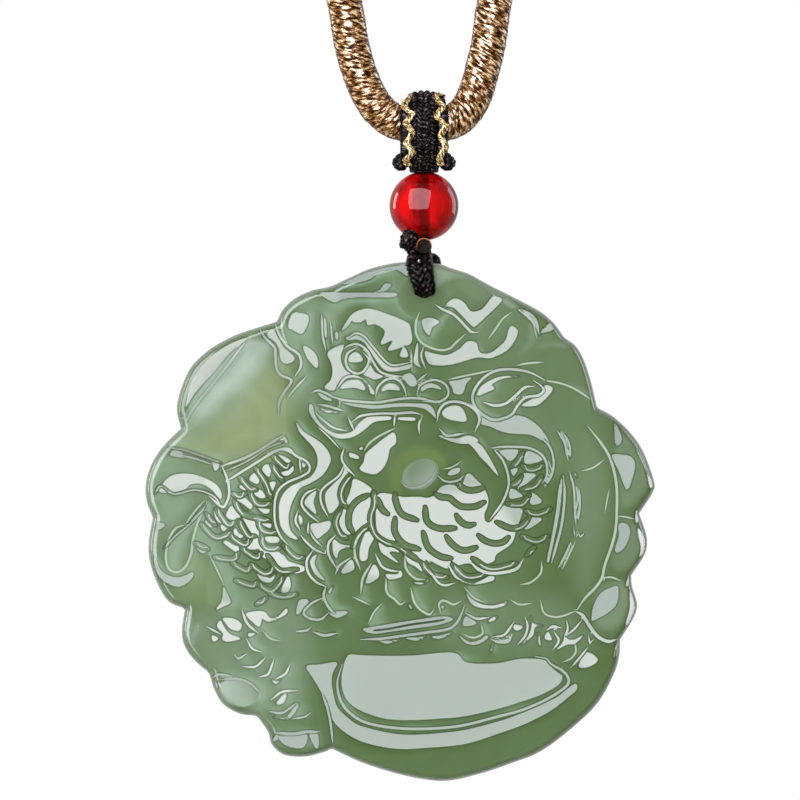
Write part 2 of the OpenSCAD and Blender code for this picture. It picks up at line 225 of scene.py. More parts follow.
def tube(bm, line, width, thick=None, sides=12, side=(0, 1, 0), lump=None, start=0.0):
    """Adds a closed tube along a line. Its section is an oval, width across and thick out.

    The section's first axis stays near the given side, and lump(share, angle) adds to it.
    The UV map holds how far along the thread a place is, in millimetres, and round it."""
    n = len(line)
    grid = bmesh.new()
    bmesh.ops.create_grid(grid, x_segments=n - 1, y_segments=sides, size=1)
    uv = grid.loops.layers.uv.new("along")
    across = Vector(side)
    frames = []
    for i in range(n):
        way = way_at(line, i)
        across = (across - way * across.dot(way)).normalized()
        frames.append((line[i], across.copy(), way.cross(across)))
    run = run_along(line)
    grid.verts.index_update()
    spots = [(round((v.co.x + 1) / 2 * (n - 1)), round((v.co.y + 1) / 2 * sides))
             for v in grid.verts]
    for face in grid.faces:
        for loop in face.loops:
            i, k = spots[loop.vert.index]
            loop[uv].uv = ((start + run[i]) * 1000, k / sides)
    for v, (i, k) in zip(grid.verts, spots):
        share = i / (n - 1)
        a = 2 * math.pi * k / sides
        w = width(share) if callable(width) else width
        t = w if thick is None else thick(share) if callable(thick) else thick
        extra = lump(share, a) if lump else 0
        mid, first, second = frames[i]
        v.co = mid + first * math.cos(a) * (w + extra) + second * math.sin(a) * (t + extra)
    bmesh.ops.remove_doubles(grid, verts=grid.verts, dist=1e-8)
    bmesh.ops.holes_fill(grid, edges=[e for e in grid.edges if e.is_boundary], sides=0)
    bmesh.ops.recalc_face_normals(grid, faces=grid.faces)
    mesh = bpy.data.meshes.new("tube")
    grid.to_mesh(mesh)
    grid.free()
    bm.from_mesh(mesh)
    bpy.data.meshes.remove(mesh)


# The running thread of every cord in the picture: fine streaks that lean across it
strands_of = bpy.data.node_groups.new("thread_strands", "ShaderNodeTree")
for name, way in (("Pitch", "INPUT"), ("Slant", "INPUT"), ("Strands", "INPUT"),
                  ("Streak", "OUTPUT"), ("Height", "OUTPUT")):
    strands_of.interface.new_socket(name=name, in_out=way, socket_type="NodeSocketFloat")
given = node(strands_of, "NodeGroupInput").outputs
uv = node(strands_of, "ShaderNodeUVMap", uv_map="along").outputs[0]
parts = node(strands_of, "ShaderNodeSeparateXYZ", {0: uv}).outputs
turns = sum_of("DIVIDE", sum_of("MULTIPLY_ADD", parts["Y"], given["Slant"], parts["X"]),
               given["Pitch"])
place = node(strands_of, "ShaderNodeCombineXYZ",
             {0: turns, 1: sum_of("MULTIPLY", parts["Y"], given["Strands"])}).outputs[0]
streak = node(strands_of, "ShaderNodeTexNoise", {"Vector": place, "Scale": 1.0, "Detail": 3,
                                                 "Roughness": 0.6}).outputs["Fac"]
sine = sum_of("SINE", sum_of("MULTIPLY", turns, 2 * math.pi))
node(strands_of, "NodeGroupOutput",
     {"Streak": streak, "Height": sum_of("MULTIPLY_ADD", sine, 0.12, streak)})


def ramp(value, stops):
    """A colour that changes with a socket's value, through stops of value and colour."""
    made = node(value.id_data, "ShaderNodeValToRGB", {0: value})
    elements = made.color_ramp.elements
    while len(elements) < len(stops):
        elements.new(0.5)
    for element, (spot, colour) in zip(elements, stops):
        element.position = spot
        element.color = (*colour, 1)
    return made.outputs[0]


def thread_material(name, colours, slant, strands, pitch=0.30, metallic=0.0, rough=0.28,
                    gloss=0.13, bump=0.00005):
    """A material of fine thread: each streak takes its own colour and stands up a little.

    The gloss is that of the brightest streaks, and the dullest have none."""
    made, tree, shader = principled(name)
    streaks = node(tree, "ShaderNodeGroup", {"Pitch": pitch, "Slant": slant, "Strands": strands},
                   node_tree=strands_of).outputs
    relief = node(tree, "ShaderNodeBump", {"Height": streaks["Height"], "Distance": bump})
    feed(shader, {
        "Base Color": ramp(streaks["Streak"], colours), "Normal": relief.outputs[0],
        "Metallic": metallic, "Roughness": rough, "Specular IOR Level": 0.06,
        "Coat Weight": spread(streaks["Streak"], (0.48, 0.62), (0.0, gloss)),
        "Coat Roughness": rough, "Coat IOR": 2.2})
    return made


cord_line = [Vector((x * 0.001, 0, h * 0.001 + PIVOT_Z)) for x, h in
             [(-10, 158), (-14, 158)] + CORD_ROUTE + [(14, 158), (10, 158)]]
cord_line = even_line(smooth_line(cord_line, 0.001), 0.0006)
# The stretch that hangs in front is drawn finer than the rest
fine_line = []
for a, b in zip(cord_line, cord_line[1:]):
    cuts = 3 if a.z < PIVOT_Z + 0.045 else 1
    fine_line += [a.lerp(b, k / cuts) for k in range(cuts)]
fine_line.append(cord_line[-1])

cord_silk = thread_material(
    "cord_silk",
    [(0.40, (0.008, 0.003, 0.001)), (0.47, (0.080, 0.028, 0.006)), (0.54, (0.22, 0.098, 0.026)),
     (0.61, (0.60, 0.42, 0.24))],
    pitch=0.28, slant=3.2, strands=13.0, metallic=0.3, rough=0.24, gloss=1.0, bump=0.00020)
bm = bmesh.new()
tube(bm, fine_line, CORD_D / 2, sides=32,
     lump=lambda s, a: 0.00006 * noise.noise(Vector((2.5 * math.cos(a), 2.5 * math.sin(a),
                                                     s * len(fine_line) * 0.7))))
wound_cord = finished_mesh("wound_cord", bm, cord_silk)
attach(wound_cord, "necklace")
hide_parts("necklace_cord")

# ---- clasp
# The two ends of the cord meet in one turned brass barrel, glued on. It sits at the back of
# the neck, so the picture does not show it.
clasp_brass, tree, shader = principled("clasp_brass")
where = node(tree, "ShaderNodeTexCoord").outputs["Object"]
stretch = node(tree, "ShaderNodeMapping", {0: where, "Scale": (6000, 300, 300)}).outputs[0]
lathe = node(tree, "ShaderNodeTexNoise",
             {"Vector": stretch, "Scale": 1, "Detail": 3}).outputs["Fac"]
turned = node(tree, "ShaderNodeBump", {"Height": lathe, "Distance": 0.00001})
feed(shader, {
    "Base Color": ramp(lathe, [(0.3, (0.36, 0.22, 0.075)), (0.7, (0.70, 0.49, 0.22))]),
    "Roughness": spread(lathe, (0, 1), (0.22, 0.42), "LINEAR"),
    "Metallic": 1, "Normal": turned.outputs[0]})


def turn_round(bm, profile, axis, steps, closed=False):
    """Turns a profile full circle about an axis through the origin."""
    rim = [bm.verts.new(p) for p in profile]
    strip = [bm.edges.new(pair) for pair in zip(rim, rim[1:] + rim[:closed])]
    bmesh.ops.spin(bm, geom=rim + strip, cent=(0, 0, 0), axis=axis, dvec=(0, 0, 0),
                   angle=2 * math.pi, steps=steps, use_merge=True, use_duplicate=False)
    bmesh.ops.remove_doubles(bm, verts=bm.verts, dist=1e-7)


bm = bmesh.new()
barrel = [(-0.0070, 0.00182), (-0.0097, 0.00182), (-0.0100, 0.00205), (-0.0100, 0.00245),
          (-0.0097, 0.00270), (-0.0088, 0.00270), (-0.0086, 0.00245), (-0.0082, 0.00245),
          (-0.0080, 0.00270), (-0.0076, 0.00282), (-0.0060, 0.00285)]
barrel += [(-x, r) for x, r in reversed(barrel)]
turn_round(bm, [(x, 0, r) for x, r in barrel], (1, 0, 0), 64)
bmesh.ops.holes_fill(bm, edges=[e for e in bm.edges if e.is_boundary], sides=0)
bmesh.ops.translate(bm, verts=bm.verts, vec=(0, 0, CLASP_R))
clasp = finished_mesh("clasp", bm, clasp_brass)
soften = clasp.modifiers.new("edges", "BEVEL")
soften.width = 0.00008
soften.segments = 2
soften.limit_method = "ANGLE"
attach(clasp, "necklace")
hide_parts("cord_clasp")

# ---- woven bail
# The bail is knotted in square knots from a dark waxed thread. It goes round the cord as a
# flat band with a raised braid in its middle, and its ends are tied in two lumps at the foot.
BAIL_BORE = 0.00215
BAIL_DROP = 0.0049
DARK_TONES = [(0.38, (0.0008, 0.0004, 0.0005)), (0.50, (0.0022, 0.0009, 0.0011)),
              (0.58, (0.007, 0.0032, 0.0038)), (0.68, (0.09, 0.058, 0.064))]
dark_braid = thread_material("dark_braid", DARK_TONES, slant=0.5, strands=3.5)


def round_the_cord(radius, low_front, low_back, step, x=0.0):
    """A line up the front of the bail, round over the cord and down its back."""
    line = [(x, -radius, z) for z in np.arange(-low_front, 0, step)]
    turns = max(8, round(math.pi * radius / step))
    line += [(x, -radius * math.cos(a), radius * math.sin(a))
             for a in (math.pi * k / turns for k in range(turns + 1))]
    line += [(x, radius, z) for z in np.arange(-step, -low_back, -step)]
    return [Vector(p) + Vector((0, 0, PIVOT_Z)) for p in line]


def eased(share):
    """A share kept between 0 and 1, that starts and ends gently."""
    share = np.clip(share, 0, 1)
    return share * share * (3 - 2 * share)


def inward(line, start, amount):
    """Draws the part of a line below a height toward the middle of the bail."""
    return [Vector((p.x, p.y * (1 - amount * eased((start - p.z) / (start - PIVOT_Z + BAIL_DROP))),
                    p.z)) for p in line]


def shouldered(line):
    """Draws the top of a line in toward the bail's middle, more on the left."""
    return [p + (Vector((0.0007, 0, -0.0002)) if p.x < 0 else Vector((-0.0003, 0, -0.0001)))
            * eased((p.z - PIVOT_Z - 0.0012) / 0.0014) for p in line]


def swelling(ends, middle):
    """A thickness along a thread, at its ends and how much more in its middle."""
    return lambda s: ends + middle * math.sin(math.pi * s)


bm = bmesh.new()
# The raised middle braid: short stitches that lean to and fro in a herringbone, over a core
BRAID_HALF = 0.00126
BRAID_HIGH = 0.00050
ROW = 7
COLUMN = 0.00060
braid = inward(round_the_cord(BAIL_BORE + 0.00062, 0.0046, 0.0046, 0.00006),
               PIVOT_Z - 0.0021, 0.55)
tube(bm, braid, BRAID_HALF, BRAID_HIGH, sides=28, side=(1, 0, 0))
for row in range(4, len(braid) - 5, ROW):
    way = (braid[row + 3] - braid[row - 3]).normalized()
    out_way = Vector((1, 0, 0)).cross(way)
    if out_way.dot(braid[row] - Vector((0, 0, PIVOT_Z - 0.002))) < 0:
        out_way = -out_way
    for column in range(4):
        x = (column - 1.5) * COLUMN
        lean = Vector((COLUMN / 2, 0, 0)) + way * (-1) ** column * 0.00019
        raised = BRAID_HIGH * math.sqrt(1 - (x / 0.00137) ** 2)
        mid = (braid[row] + way * (0.00021 if column in (1, 2) else 0) + out_way * raised
               + Vector((x, 0, 0)))
        stitch = [mid - lean - out_way * 0.00009, mid + out_way * 0.00004,
                  mid + lean - out_way * 0.00009]
        tube(bm, smooth_line(stitch, 0.00016), swelling(0.00008, 0.00011), sides=8,
             side=out_way, start=row * 0.001 + column)
# The flat sides under the gold thread, with the wrapped edge thread beyond it
WRAPS = 17
WRAP_PAST = 0.62
WRAP_R = BAIL_BORE + 0.00042
for side in (-1, 1):
    flat = inward(round_the_cord(BAIL_BORE + 0.00034, 0.0040, 0.0040, 0.00012,
                                 side * 0.0018), PIVOT_Z - 0.0022, 0.3)
    tube(bm, shouldered(flat), 0.00058, 0.00030, sides=16, side=(1, 0, 0))
    for a in np.linspace(-WRAP_PAST, math.pi + WRAP_PAST, WRAPS):
        out_way = Vector((0, -math.cos(a), math.sin(a)))
        mid = Vector((side * 0.00212, 0, PIVOT_Z)) + out_way * WRAP_R
        lean = Vector((0, math.sin(a), math.cos(a))) * 0.00030
        wrap = [mid - lean - out_way * 0.0001, mid + Vector((side * 0.00010, 0, 0)),
                mid + lean - out_way * 0.0001]
        tube(bm, smooth_line(shouldered(wrap), 0.00008), swelling(0.00008, 0.00016), sides=8,
             side=(1, 0, 0))
# The foot, wound round with the same thread, and the two lumps
foot = [Vector((0, 0, z)) for z in np.linspace(PIVOT_Z - 0.00255, PIVOT_Z - 0.00476, 40)]
tube(bm, foot, lambda s: 0.00165 - 0.00030 * s ** 2, lambda s: 0.00140 - 0.0002 * s ** 2,
     sides=32, side=(1, 0, 0),
     lump=lambda s, a: 0.00007 * abs(math.sin(math.pi * (s * 6 + 0.7 * math.sin(a)))))
LUMP_TURNS = 4.5
for side in (-1, 1):
    lump_at = Vector((side * 0.00232, 0, PIVOT_Z - BAIL_DROP + 0.00114))
    coil = []
    for s in np.linspace(0, 1, 150):
        a = 2 * math.pi * LUMP_TURNS * s
        r = 0.00064 * math.sin(math.pi * (0.06 + 0.88 * s))
        coil.append(lump_at + Vector((r * math.cos(a), r * math.sin(a) * 1.2,
                                      (0.5 - s) * 0.0013 + 0.00012 * math.sin(a))))
    tube(bm, coil, 0.00027, sides=10, side=(0, 0, 1))
    core = [lump_at + Vector((0, 0, z)) for z in np.linspace(-0.0007, 0.0007, 12)]
    tube(bm, core, swelling(0.0003, 0.0005), sides=14, side=(1, 0, 0))
bail_band = finished_mesh("bail_band_woven", bm, dark_braid)
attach(bail_band, "drop")
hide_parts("bail_band")

# ---- gold edgings
# A double gold metallic thread is knotted in a zigzag along each edge of the bail's front,
# over its top and down its back.
gold_thread = thread_material(
    "gold_thread",
    [(0.39, (0.012, 0.005, 0.002)), (0.46, (0.13, 0.065, 0.016)), (0.54, (0.36, 0.24, 0.075)),
     (0.61, (0.66, 0.56, 0.38))],
    pitch=0.40, slant=0.7, strands=2.2, metallic=0.4, rough=0.24, gloss=0.9)
# The zigzag seen from the front, drawn on squares of a tenth of a millimetre. The bail's
# middle is at X 424, and the middle of the picture at Y 400.
SQUARE = 0.0001
gold_front = {
    "left": [(412, 95), (411, 98), (405, 104), (404, 108), (412, 115), (406, 124), (413, 134),
             (406, 144), (413, 153), (405, 161), (411, 169), (409, 176)],
    "right": [(434, 94), (436, 100), (443, 108), (436, 117), (446, 127), (440, 137), (446, 147),
              (439, 159), (442, 169), (440, 176)],
}
DRAWN_X = 424
DRAWN_Y = 400
GOLD_STEP = 0.00009
GOLD_TWIST = 0.0026
BACK_WAVE = 0.0020


def off_the_cord(p):
    """Which way is outward on the bail at a place."""
    return Vector((0, p.y, max(0.0, p.z - PIVOT_Z))).normalized()


for side, tag in ((-1, "left"), (1, "right")):
    bm = bmesh.new()
    rail = shouldered(inward(round_the_cord(BAIL_BORE + 0.00098, 0.0041, 0.0034, 0.0001,
                                            side * 0.00178), PIVOT_Z - 0.0024, 0.25))
    seen_x = [(px - DRAWN_X) * SQUARE for px, _ in gold_front[tag]]
    seen_down = [(py - DRAWN_Y) * SQUARE - SEEN_MID.z for _, py in gold_front[tag]]
    path = []
    for i, p in enumerate(rail):
        if p.y < 0:
            x = float(np.interp(-p.z, seen_down, seen_x))
        else:
            saw = 2 * abs(2 * ((i * 0.0001 / BACK_WAVE) % 1) - 1) - 1
            x = p.x + 0.00036 * math.sin(saw * 1.5)
        path.append(Vector((x, p.y, p.z)) + off_the_cord(p) * 0.00006)
    path = even_line(smooth_line(path[::3], 0.0001), GOLD_STEP)
    for strand in range(5):
        line = []
        for i, p in enumerate(path):
            a = 2 * math.pi * (i * GOLD_STEP / GOLD_TWIST + strand / 5)
            line.append(p + Vector((0.00025 * math.cos(a), 0, 0))
                        + off_the_cord(p) * 0.00010 * math.sin(a))
        tube(bm, line, 0.000125, sides=8, side=(1, 0, 0), start=strand * 7.3)
    gold = finished_mesh("bail_gold_zigzag_" + tag, bm, gold_thread)
    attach(gold, "drop")
    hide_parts("bail_gold_" + tag)

# ---- agate bead
# A polished ball of red agate, faintly banded from top to bottom, drilled through for the
# thread, which shows dark inside the stone.
BEAD_R = 0.00345
BEAD_Z = PIVOT_Z - 0.0081
BEAD_BORE = 0.00055
bm = bmesh.new()
start = math.asin(BEAD_BORE / BEAD_R)
arc = [(BEAD_R * math.sin(a), 0, BEAD_R * math.cos(a))
       for a in np.linspace(start, math.pi - start, 96)]
arc += [(BEAD_BORE, 0, z) for z in np.linspace(arc[-1][2], arc[0][2], 8)[1:-1]]
turn_round(bm, arc, (0, 0, 1), 128, closed=True)
bmesh.ops.translate(bm, verts=bm.verts, vec=(0, 0, BEAD_Z))

agate, tree, shader = principled("agate")
where = node(tree, "ShaderNodeTexCoord").outputs["Object"]
stretch = node(tree, "ShaderNodeMapping", {0: where, "Scale": (620, 620, 40)}).outputs[0]
bands = node(tree, "ShaderNodeTexNoise", {"Vector": stretch, "Scale": 1, "Detail": 3,
                                          "Distortion": 0.4}).outputs["Fac"]
tone = ramp(bands, [(0.34, (0.085, 0.0006, 0.0006)), (0.62, (0.34, 0.0015, 0.0015))])
# The thread in the bore darkens the stone near the axis
off_axis = sum_of("ABSOLUTE", node(tree, "ShaderNodeSeparateXYZ", {0: where}).outputs["X"])
veiled = node(tree, "ShaderNodeVectorMath",
              {0: tone, "Scale": spread(off_axis, (0.0003, 0.0008), (0.5, 1.0))},
              operation="SCALE")
feed(shader, {
    "Base Color": veiled.outputs[0], "Roughness": 0.03, "Specular IOR Level": 0.44,
    "Specular Tint": (1.0, 0.62, 0.66, 1), "Subsurface Weight": 0.25,
    "Subsurface Radius": (1.0, 0.1, 0.1), "Subsurface Scale": 0.001})
bead = finished_mesh("agate_bead_polished", bm, agate)
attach(bead, "drop")
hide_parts("agate_bead")

# ---- thread in the bead
# The dark waxed thread comes out of the foot of the bail, runs through the bead and ends in
# the knot under it.
plied_dark = thread_material("plied_dark", DARK_TONES, slant=0.4, strands=2.5)


def plied(bm, line, radius, pitch, share):
    """A thread of three plies twisted round one another along a line."""
    line = even_line(line, radius * 0.35)
    across = Vector((1, 0, 0))
    step = (line[1] - line[0]).length
    strands = [[], [], []]
    for i, p in enumerate(line):
        way = way_at(line, i)
        across = (across - way * across.dot(way)).normalized()
        other = way.cross(across)
        for k, strand in enumerate(strands):
            a = 2 * math.pi * (i * step / pitch + k / 3)
            strand.append(p + (across * math.cos(a) + other * math.sin(a))
                          * radius * (1 - share))
    for strand in strands:
        tube(bm, strand, radius * share, sides=10, side=(1, 0, 0))


bm = bmesh.new()
plied(bm, [Vector((0, 0, z)) for z in np.linspace(PIVOT_Z - 0.0036, PIVOT_Z - 0.0124, 30)],
      0.00044, 0.0014, 0.52)
bead_thread = finished_mesh("bead_thread_plied", bm, plied_dark)
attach(bead_thread, "drop")
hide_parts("bead_thread")

# ---- knot under the bead
# The plied thread is knotted over itself under the bead, with its turns pulled tight and a
# few loose fibres standing out.
bm = bmesh.new()
BEAD_Y = 207.6


def at(px, py, y):
    """A place given on the drawing, 10 squares to a millimetre, and its depth."""
    return Vector(((px - DRAWN_X) * SQUARE, y * 0.001, BEAD_Z + (BEAD_Y - py) * SQUARE))


knot_turns = {
    "high turn": [(417, 236, -1.2), (410, 235.5, -2.3), (404, 239, -2.0), (405, 244, -0.9)],
    "low turn": [(420, 243, -0.7), (413, 241, -2.2), (405, 243.5, -2.5), (402.5, 247, -1.2)],
    "cross turn": [(406, 234.5, -2.0), (411, 240, -2.9), (411, 247, -2.4), (414, 252, -1.4)],
    "tucked turn": [(424, 248, -0.4), (418, 250, -1.3), (412, 251, -1.9), (406, 249, -1.2)],
    "inner turn": [(424, 246, 0.3), (416, 243, -0.4), (409, 243, -1.2), (406, 247, -0.6)],
    "left leg": [(406, 245, -1.6), (409, 251, -1.9), (412, 257, -1.5), (413, 262, -1.2)],
    "under the button": [(413, 254, -0.8), (419, 258, -1.1), (427, 256, -0.8)],
    "right leg": [(424, 254, -0.9), (427, 258, -1.3), (428, 262, -1.2)],
}
for turn in knot_turns.values():
    plied(bm, smooth_line([at(*p) for p in turn], 0.0002), 0.00040, 0.0012, 0.5)
rng = np.random.default_rng(7)
for k in range(26):
    angle = rng.uniform(0, 2 * math.pi)
    base = at(409 + 8 * math.cos(angle), 243 + 7 * math.sin(angle), -2.0 + rng.uniform(-0.7, 0.7))
    way = Vector((math.cos(angle), rng.uniform(-0.8, 0.2), -math.sin(angle))).normalized()
    bend = Vector(rng.uniform(-0.5, 0.5, 3))
    reach = rng.uniform(0.00008, 0.0002)
    hair = [base, base + way * reach, base + (way + bend * 0.5).normalized() * reach * 1.7]
    tube(bm, smooth_line(hair, 0.0001), 0.00002, sides=4, side=(0.3, 0.8, 0.2))
knot = finished_mesh("thread_knot_tied", bm, plied_dark)
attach(knot, "drop")
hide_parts("thread_knot")

# ---- melted end
# The cut end of the thread is melted to a round black button beside the knot, with a thin
# coppery rim where the flame caught it.
END_R = 0.0008
END_Z = BEAD_Z - 0.004
melted, tree, shader = principled("melted_thread")
where = node(tree, "ShaderNodeTexCoord").outputs["Object"]
centred = node(tree, "ShaderNodeMapping", {0: where, "Location": (0, 0, -END_Z)}).outputs[0]
flat = node(tree, "ShaderNodeVectorMath", {0: centred, 1: (1, 0, 1)}, operation="MULTIPLY")
away = node(tree, "ShaderNodeVectorMath", {0: flat.outputs[0]}, operation="LENGTH")
copper = ramp(sum_of("DIVIDE", away.outputs["Value"], END_R),
              [(0.0, (0.004, 0.0025, 0.0025)), (0.80, (0.012, 0.005, 0.003)),
               (0.93, (0.30, 0.11, 0.05))])
# The copper shows only along the upper half of the rim
up = node(tree, "ShaderNodeSeparateXYZ", {0: centred}).outputs["Z"]
copper_upper_half = node(tree, "ShaderNodeVectorMath",
                {0: copper, "Scale": spread(up, (-0.0003, 0.0002), (0.06, 1))},
                operation="SCALE")
crust = node(tree, "ShaderNodeTexNoise", {"Vector": where, "Scale": 4500}).outputs["Fac"]
pits = node(tree, "ShaderNodeBump", {"Height": crust, "Distance": 0.00004})
feed(shader, {"Base Color": copper_upper_half.outputs[0], "Roughness": 0.5, "Specular IOR Level": 0.06,
              "Normal": pits.outputs[0]})
bm = bmesh.new()
button = [(0.0, -0.00205), (0.00035, -0.00207), (0.00058, -0.00214), (0.00068, -0.00223),
          (0.00076, -0.00220), (0.00080, -0.00205), (0.00078, -0.00170), (0.00070, -0.00145),
          (0.0, -0.00145)]
turn_round(bm, [(r, y, 0) for r, y in button], (0, 1, 0), 40)
bmesh.ops.translate(bm, verts=bm.verts, vec=(0, 0, END_Z))
# The noise is seeded, so that the melted surface is the same each time
noise.seed_set(5)
for v in bm.verts:
    v.co += noise.noise_vector(v.co * 1800) * 0.00005
end_button = finished_mesh("thread_end_melted", bm, melted)
rounder = end_button.modifiers.new("rounder", "SUBSURF")
rounder.levels = 1
rounder.render_levels = 1
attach(end_button, "drop")
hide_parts("thread_end")

# ---- hanging loop
# Two plied dark threads lie side by side, from the knot down over the front of the jade,
# through its hole and back up behind it. Their route is in millimetres.
FRONT_Y = 4.375
BACK_Y = 5.0
JADE_TOP = BEAD_Z * 1000 - 5.65
HOLE_Z = JADE_TOP - 2.6
# Columns: Y, height over the jade's top, X of the middle and each thread's distance from it
loop_route = [
    (-0.10 * FRONT_Y, 1.1, -0.3, 0.45), (-0.28 * FRONT_Y, 0.75, -0.4, 0.62),
    (-0.48 * FRONT_Y, 0.35, -0.45, 0.72), (-0.72 * FRONT_Y, -0.2, -0.45, 0.76),
    (-0.92 * FRONT_Y, -0.9, -0.35, 0.70), (-FRONT_Y - 0.1, -1.7, -0.2, 0.60),
    (-FRONT_Y + 0.1, -2.5, 0, 0.50), (-FRONT_Y + 0.9, -2.95, 0.05, 0.46), (0, -3.0, 0, 0.46),
    (BACK_Y - 1.0, -2.8, 0, 0.40), (BACK_Y - 0.1, -2.25, 0.1, 0.40),
    (BACK_Y + 0.05, -1.6, 0.3, 0.50), (0.88 * BACK_Y, -0.9, 0.5, 0.60),
    (0.68 * BACK_Y, -0.2, 0.6, 0.55), (0.42 * BACK_Y, 0.3, 0.6, 0.45),
    (0.2 * BACK_Y, 0.45, 0.5, 0.3),
]
LOOP_STEP = 0.0001
LOOP_TWIST = 0.0021
bm = bmesh.new()
# The two threads, and behind them the short turn that fills the hole
for side, part, lift in ((-1, loop_route, 0.0), (1, loop_route, 0.0), (0, loop_route[3:13], -0.12)):
    line = [Vector(((x + side * apart) * 0.001, y * 0.001, (JADE_TOP + z + lift) * 0.001))
            for y, z, x, apart in part]
    line = even_line(smooth_line(line, 0.0001), LOOP_STEP)
    strands = [[], [], []]
    for i, p in enumerate(line):
        room_share = np.interp(p.y, [-0.0038, -0.0030, 0.003, 0.004], [1, 0.8, 0.8, 1])
        other = way_at(line, i).cross(Vector((1, 0, 0))).normalized()
        for k, strand in enumerate(strands):
            a = (side or 1) * 2 * math.pi * (i * LOOP_STEP / LOOP_TWIST + k / 3)
            strand.append(p + (Vector((1, 0, 0)) * math.cos(a) * 0.00034
                               + other * math.sin(a) * 0.00026) * room_share)
    for k, strand in enumerate(strands):
        tube(bm, strand, lambda s: 0.00033 * np.interp(abs(s - 0.5), [0.14, 0.26], [0.8, 1]),
             sides=10, side=(1, 0, 0), start=k * 3.1 + side)
# It is the same thread, its colours painted half as bright for painted shade
waxed = [(spot, tuple(part / 2 for part in colour)) for spot, colour in DARK_TONES]
loop_painted_shade = thread_material("loop_painted_shade", waxed, slant=0.4, strands=2.5, gloss=0.06)
loop = finished_mesh("hanging_loop_plied", bm, loop_painted_shade)
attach(loop, "drop")
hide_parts("hanging_loop")

# ---- jade
# One slab of pale green jade, carved in low relief by hand with small wheels, then polished
# all over until every facet shines. Its back is plain, and one hole at the top takes the thread.
# The carving is drawn on the same squares of a tenth of a millimetre, X to the right, Y down.
HOLE_AT = (424, 287)
MIDDLE = (400, 520)
# The thickness of the thin rim and of the plain back behind the middle plane, in millimetres,
# and how many squares the edge takes to round off
RIM_HALF = 0.5
BACK_FLAT = 4.3
RIM_ROUND = 9
lobes = [
    [(277, 320), (283, 308), (295, 297), (312, 289), (330, 285), (350, 276), (371, 267), (400, 261),
     (433, 261), (452, 267), (470, 273), (490, 284), (514, 296), (540, 310), (554, 322),
     (564, 336)],
    [(564, 336), (575, 344), (583, 357), (590, 377), (597, 406)],
    [(597, 406), (613, 415), (630, 431), (643, 450), (654, 480), (652, 492), (639, 512)],
    [(639, 512), (645, 529), (647, 541), (644, 554), (631, 574)],
    [(631, 574), (632, 585), (637, 603), (633, 617), (620, 638)],
    [(620, 638), (619, 655), (613, 674), (597, 702), (570, 728), (540, 750), (510, 762), (480, 772),
     (448, 779), (420, 777), (390, 770), (360, 760), (332, 747)],
    [(332, 747), (322, 751), (304, 755), (284, 753), (272, 743), (268, 730), (257, 714)],
    [(257, 714), (240, 712), (224, 703), (215, 689), (209, 671)],
    [(209, 671), (195, 659), (185, 645), (182, 630), (185, 607)],
    [(185, 607), (169, 600), (158, 583), (150, 560), (149, 540), (153, 516)],
    [(153, 516), (147, 500), (146, 482), (152, 462), (164, 444), (181, 427)],
    [(181, 427), (177, 408), (181, 388), (191, 366), (207, 350), (221, 341), (240, 332),
     (277, 320)],
]


def drawn(points, closed=False):
    """A smooth line on the drawing, as an array of X and Y."""
    return np.array([p[:2] for p in smooth_line([(*p, 0) for p in points], 2.0, closed)])


outline = np.vstack([drawn(lobe)[:-1] for lobe in lobes])


def away_from(x, y, line, closed=False):
    """How far places are from a line, how far along it their nearest point is, its length,
    how far to its side they are, and the way square to it there."""
    ends = np.vstack([line, line[:1]]) if closed else line
    best = np.full(x.shape, 1e9)
    along, side = np.zeros((2,) + x.shape)
    square = np.zeros((2,) + x.shape)
    gone = 0.0
    for (ax, ay), (bx, by) in zip(ends, ends[1:]):
        dx, dy = bx - ax, by - ay
        size = math.hypot(dx, dy)
        if size < 3e-5:
            continue
        t = np.clip(((x - ax) * dx + (y - ay) * dy) / size ** 2, 0, 1)
        d = np.hypot(x - ax - t * dx, y - ay - t * dy)
        nearer = d < best
        best = np.where(nearer, d, best)
        along = np.where(nearer, gone + t * size, along)
        side = np.where(nearer, ((y - ay) * dx - (x - ax) * dy) / size, side)
        square[:, nearer] = np.array([-dy, dx])[:, None] / size
        gone += size
    return best, along, gone, side, square


def inside(x, y, line):
    """Which places lie inside a closed line."""
    within = np.zeros(x.shape, bool)
    for (ax, ay), (bx, by) in zip(line, np.roll(line, -1, axis=0)):
        if ay != by:
            within ^= ((ay > y) != (by > y)) & (x < (bx - ax) * (y - ay) / (by - ay) + ax)
    return within


def near(x, y, line, reach):
    """A mask of the places in the box round a line."""
    low = line.min(axis=0) - reach
    high = line.max(axis=0) + reach
    return (x >= low[0]) & (x <= high[0]) & (y >= low[1]) & (y <= high[1])


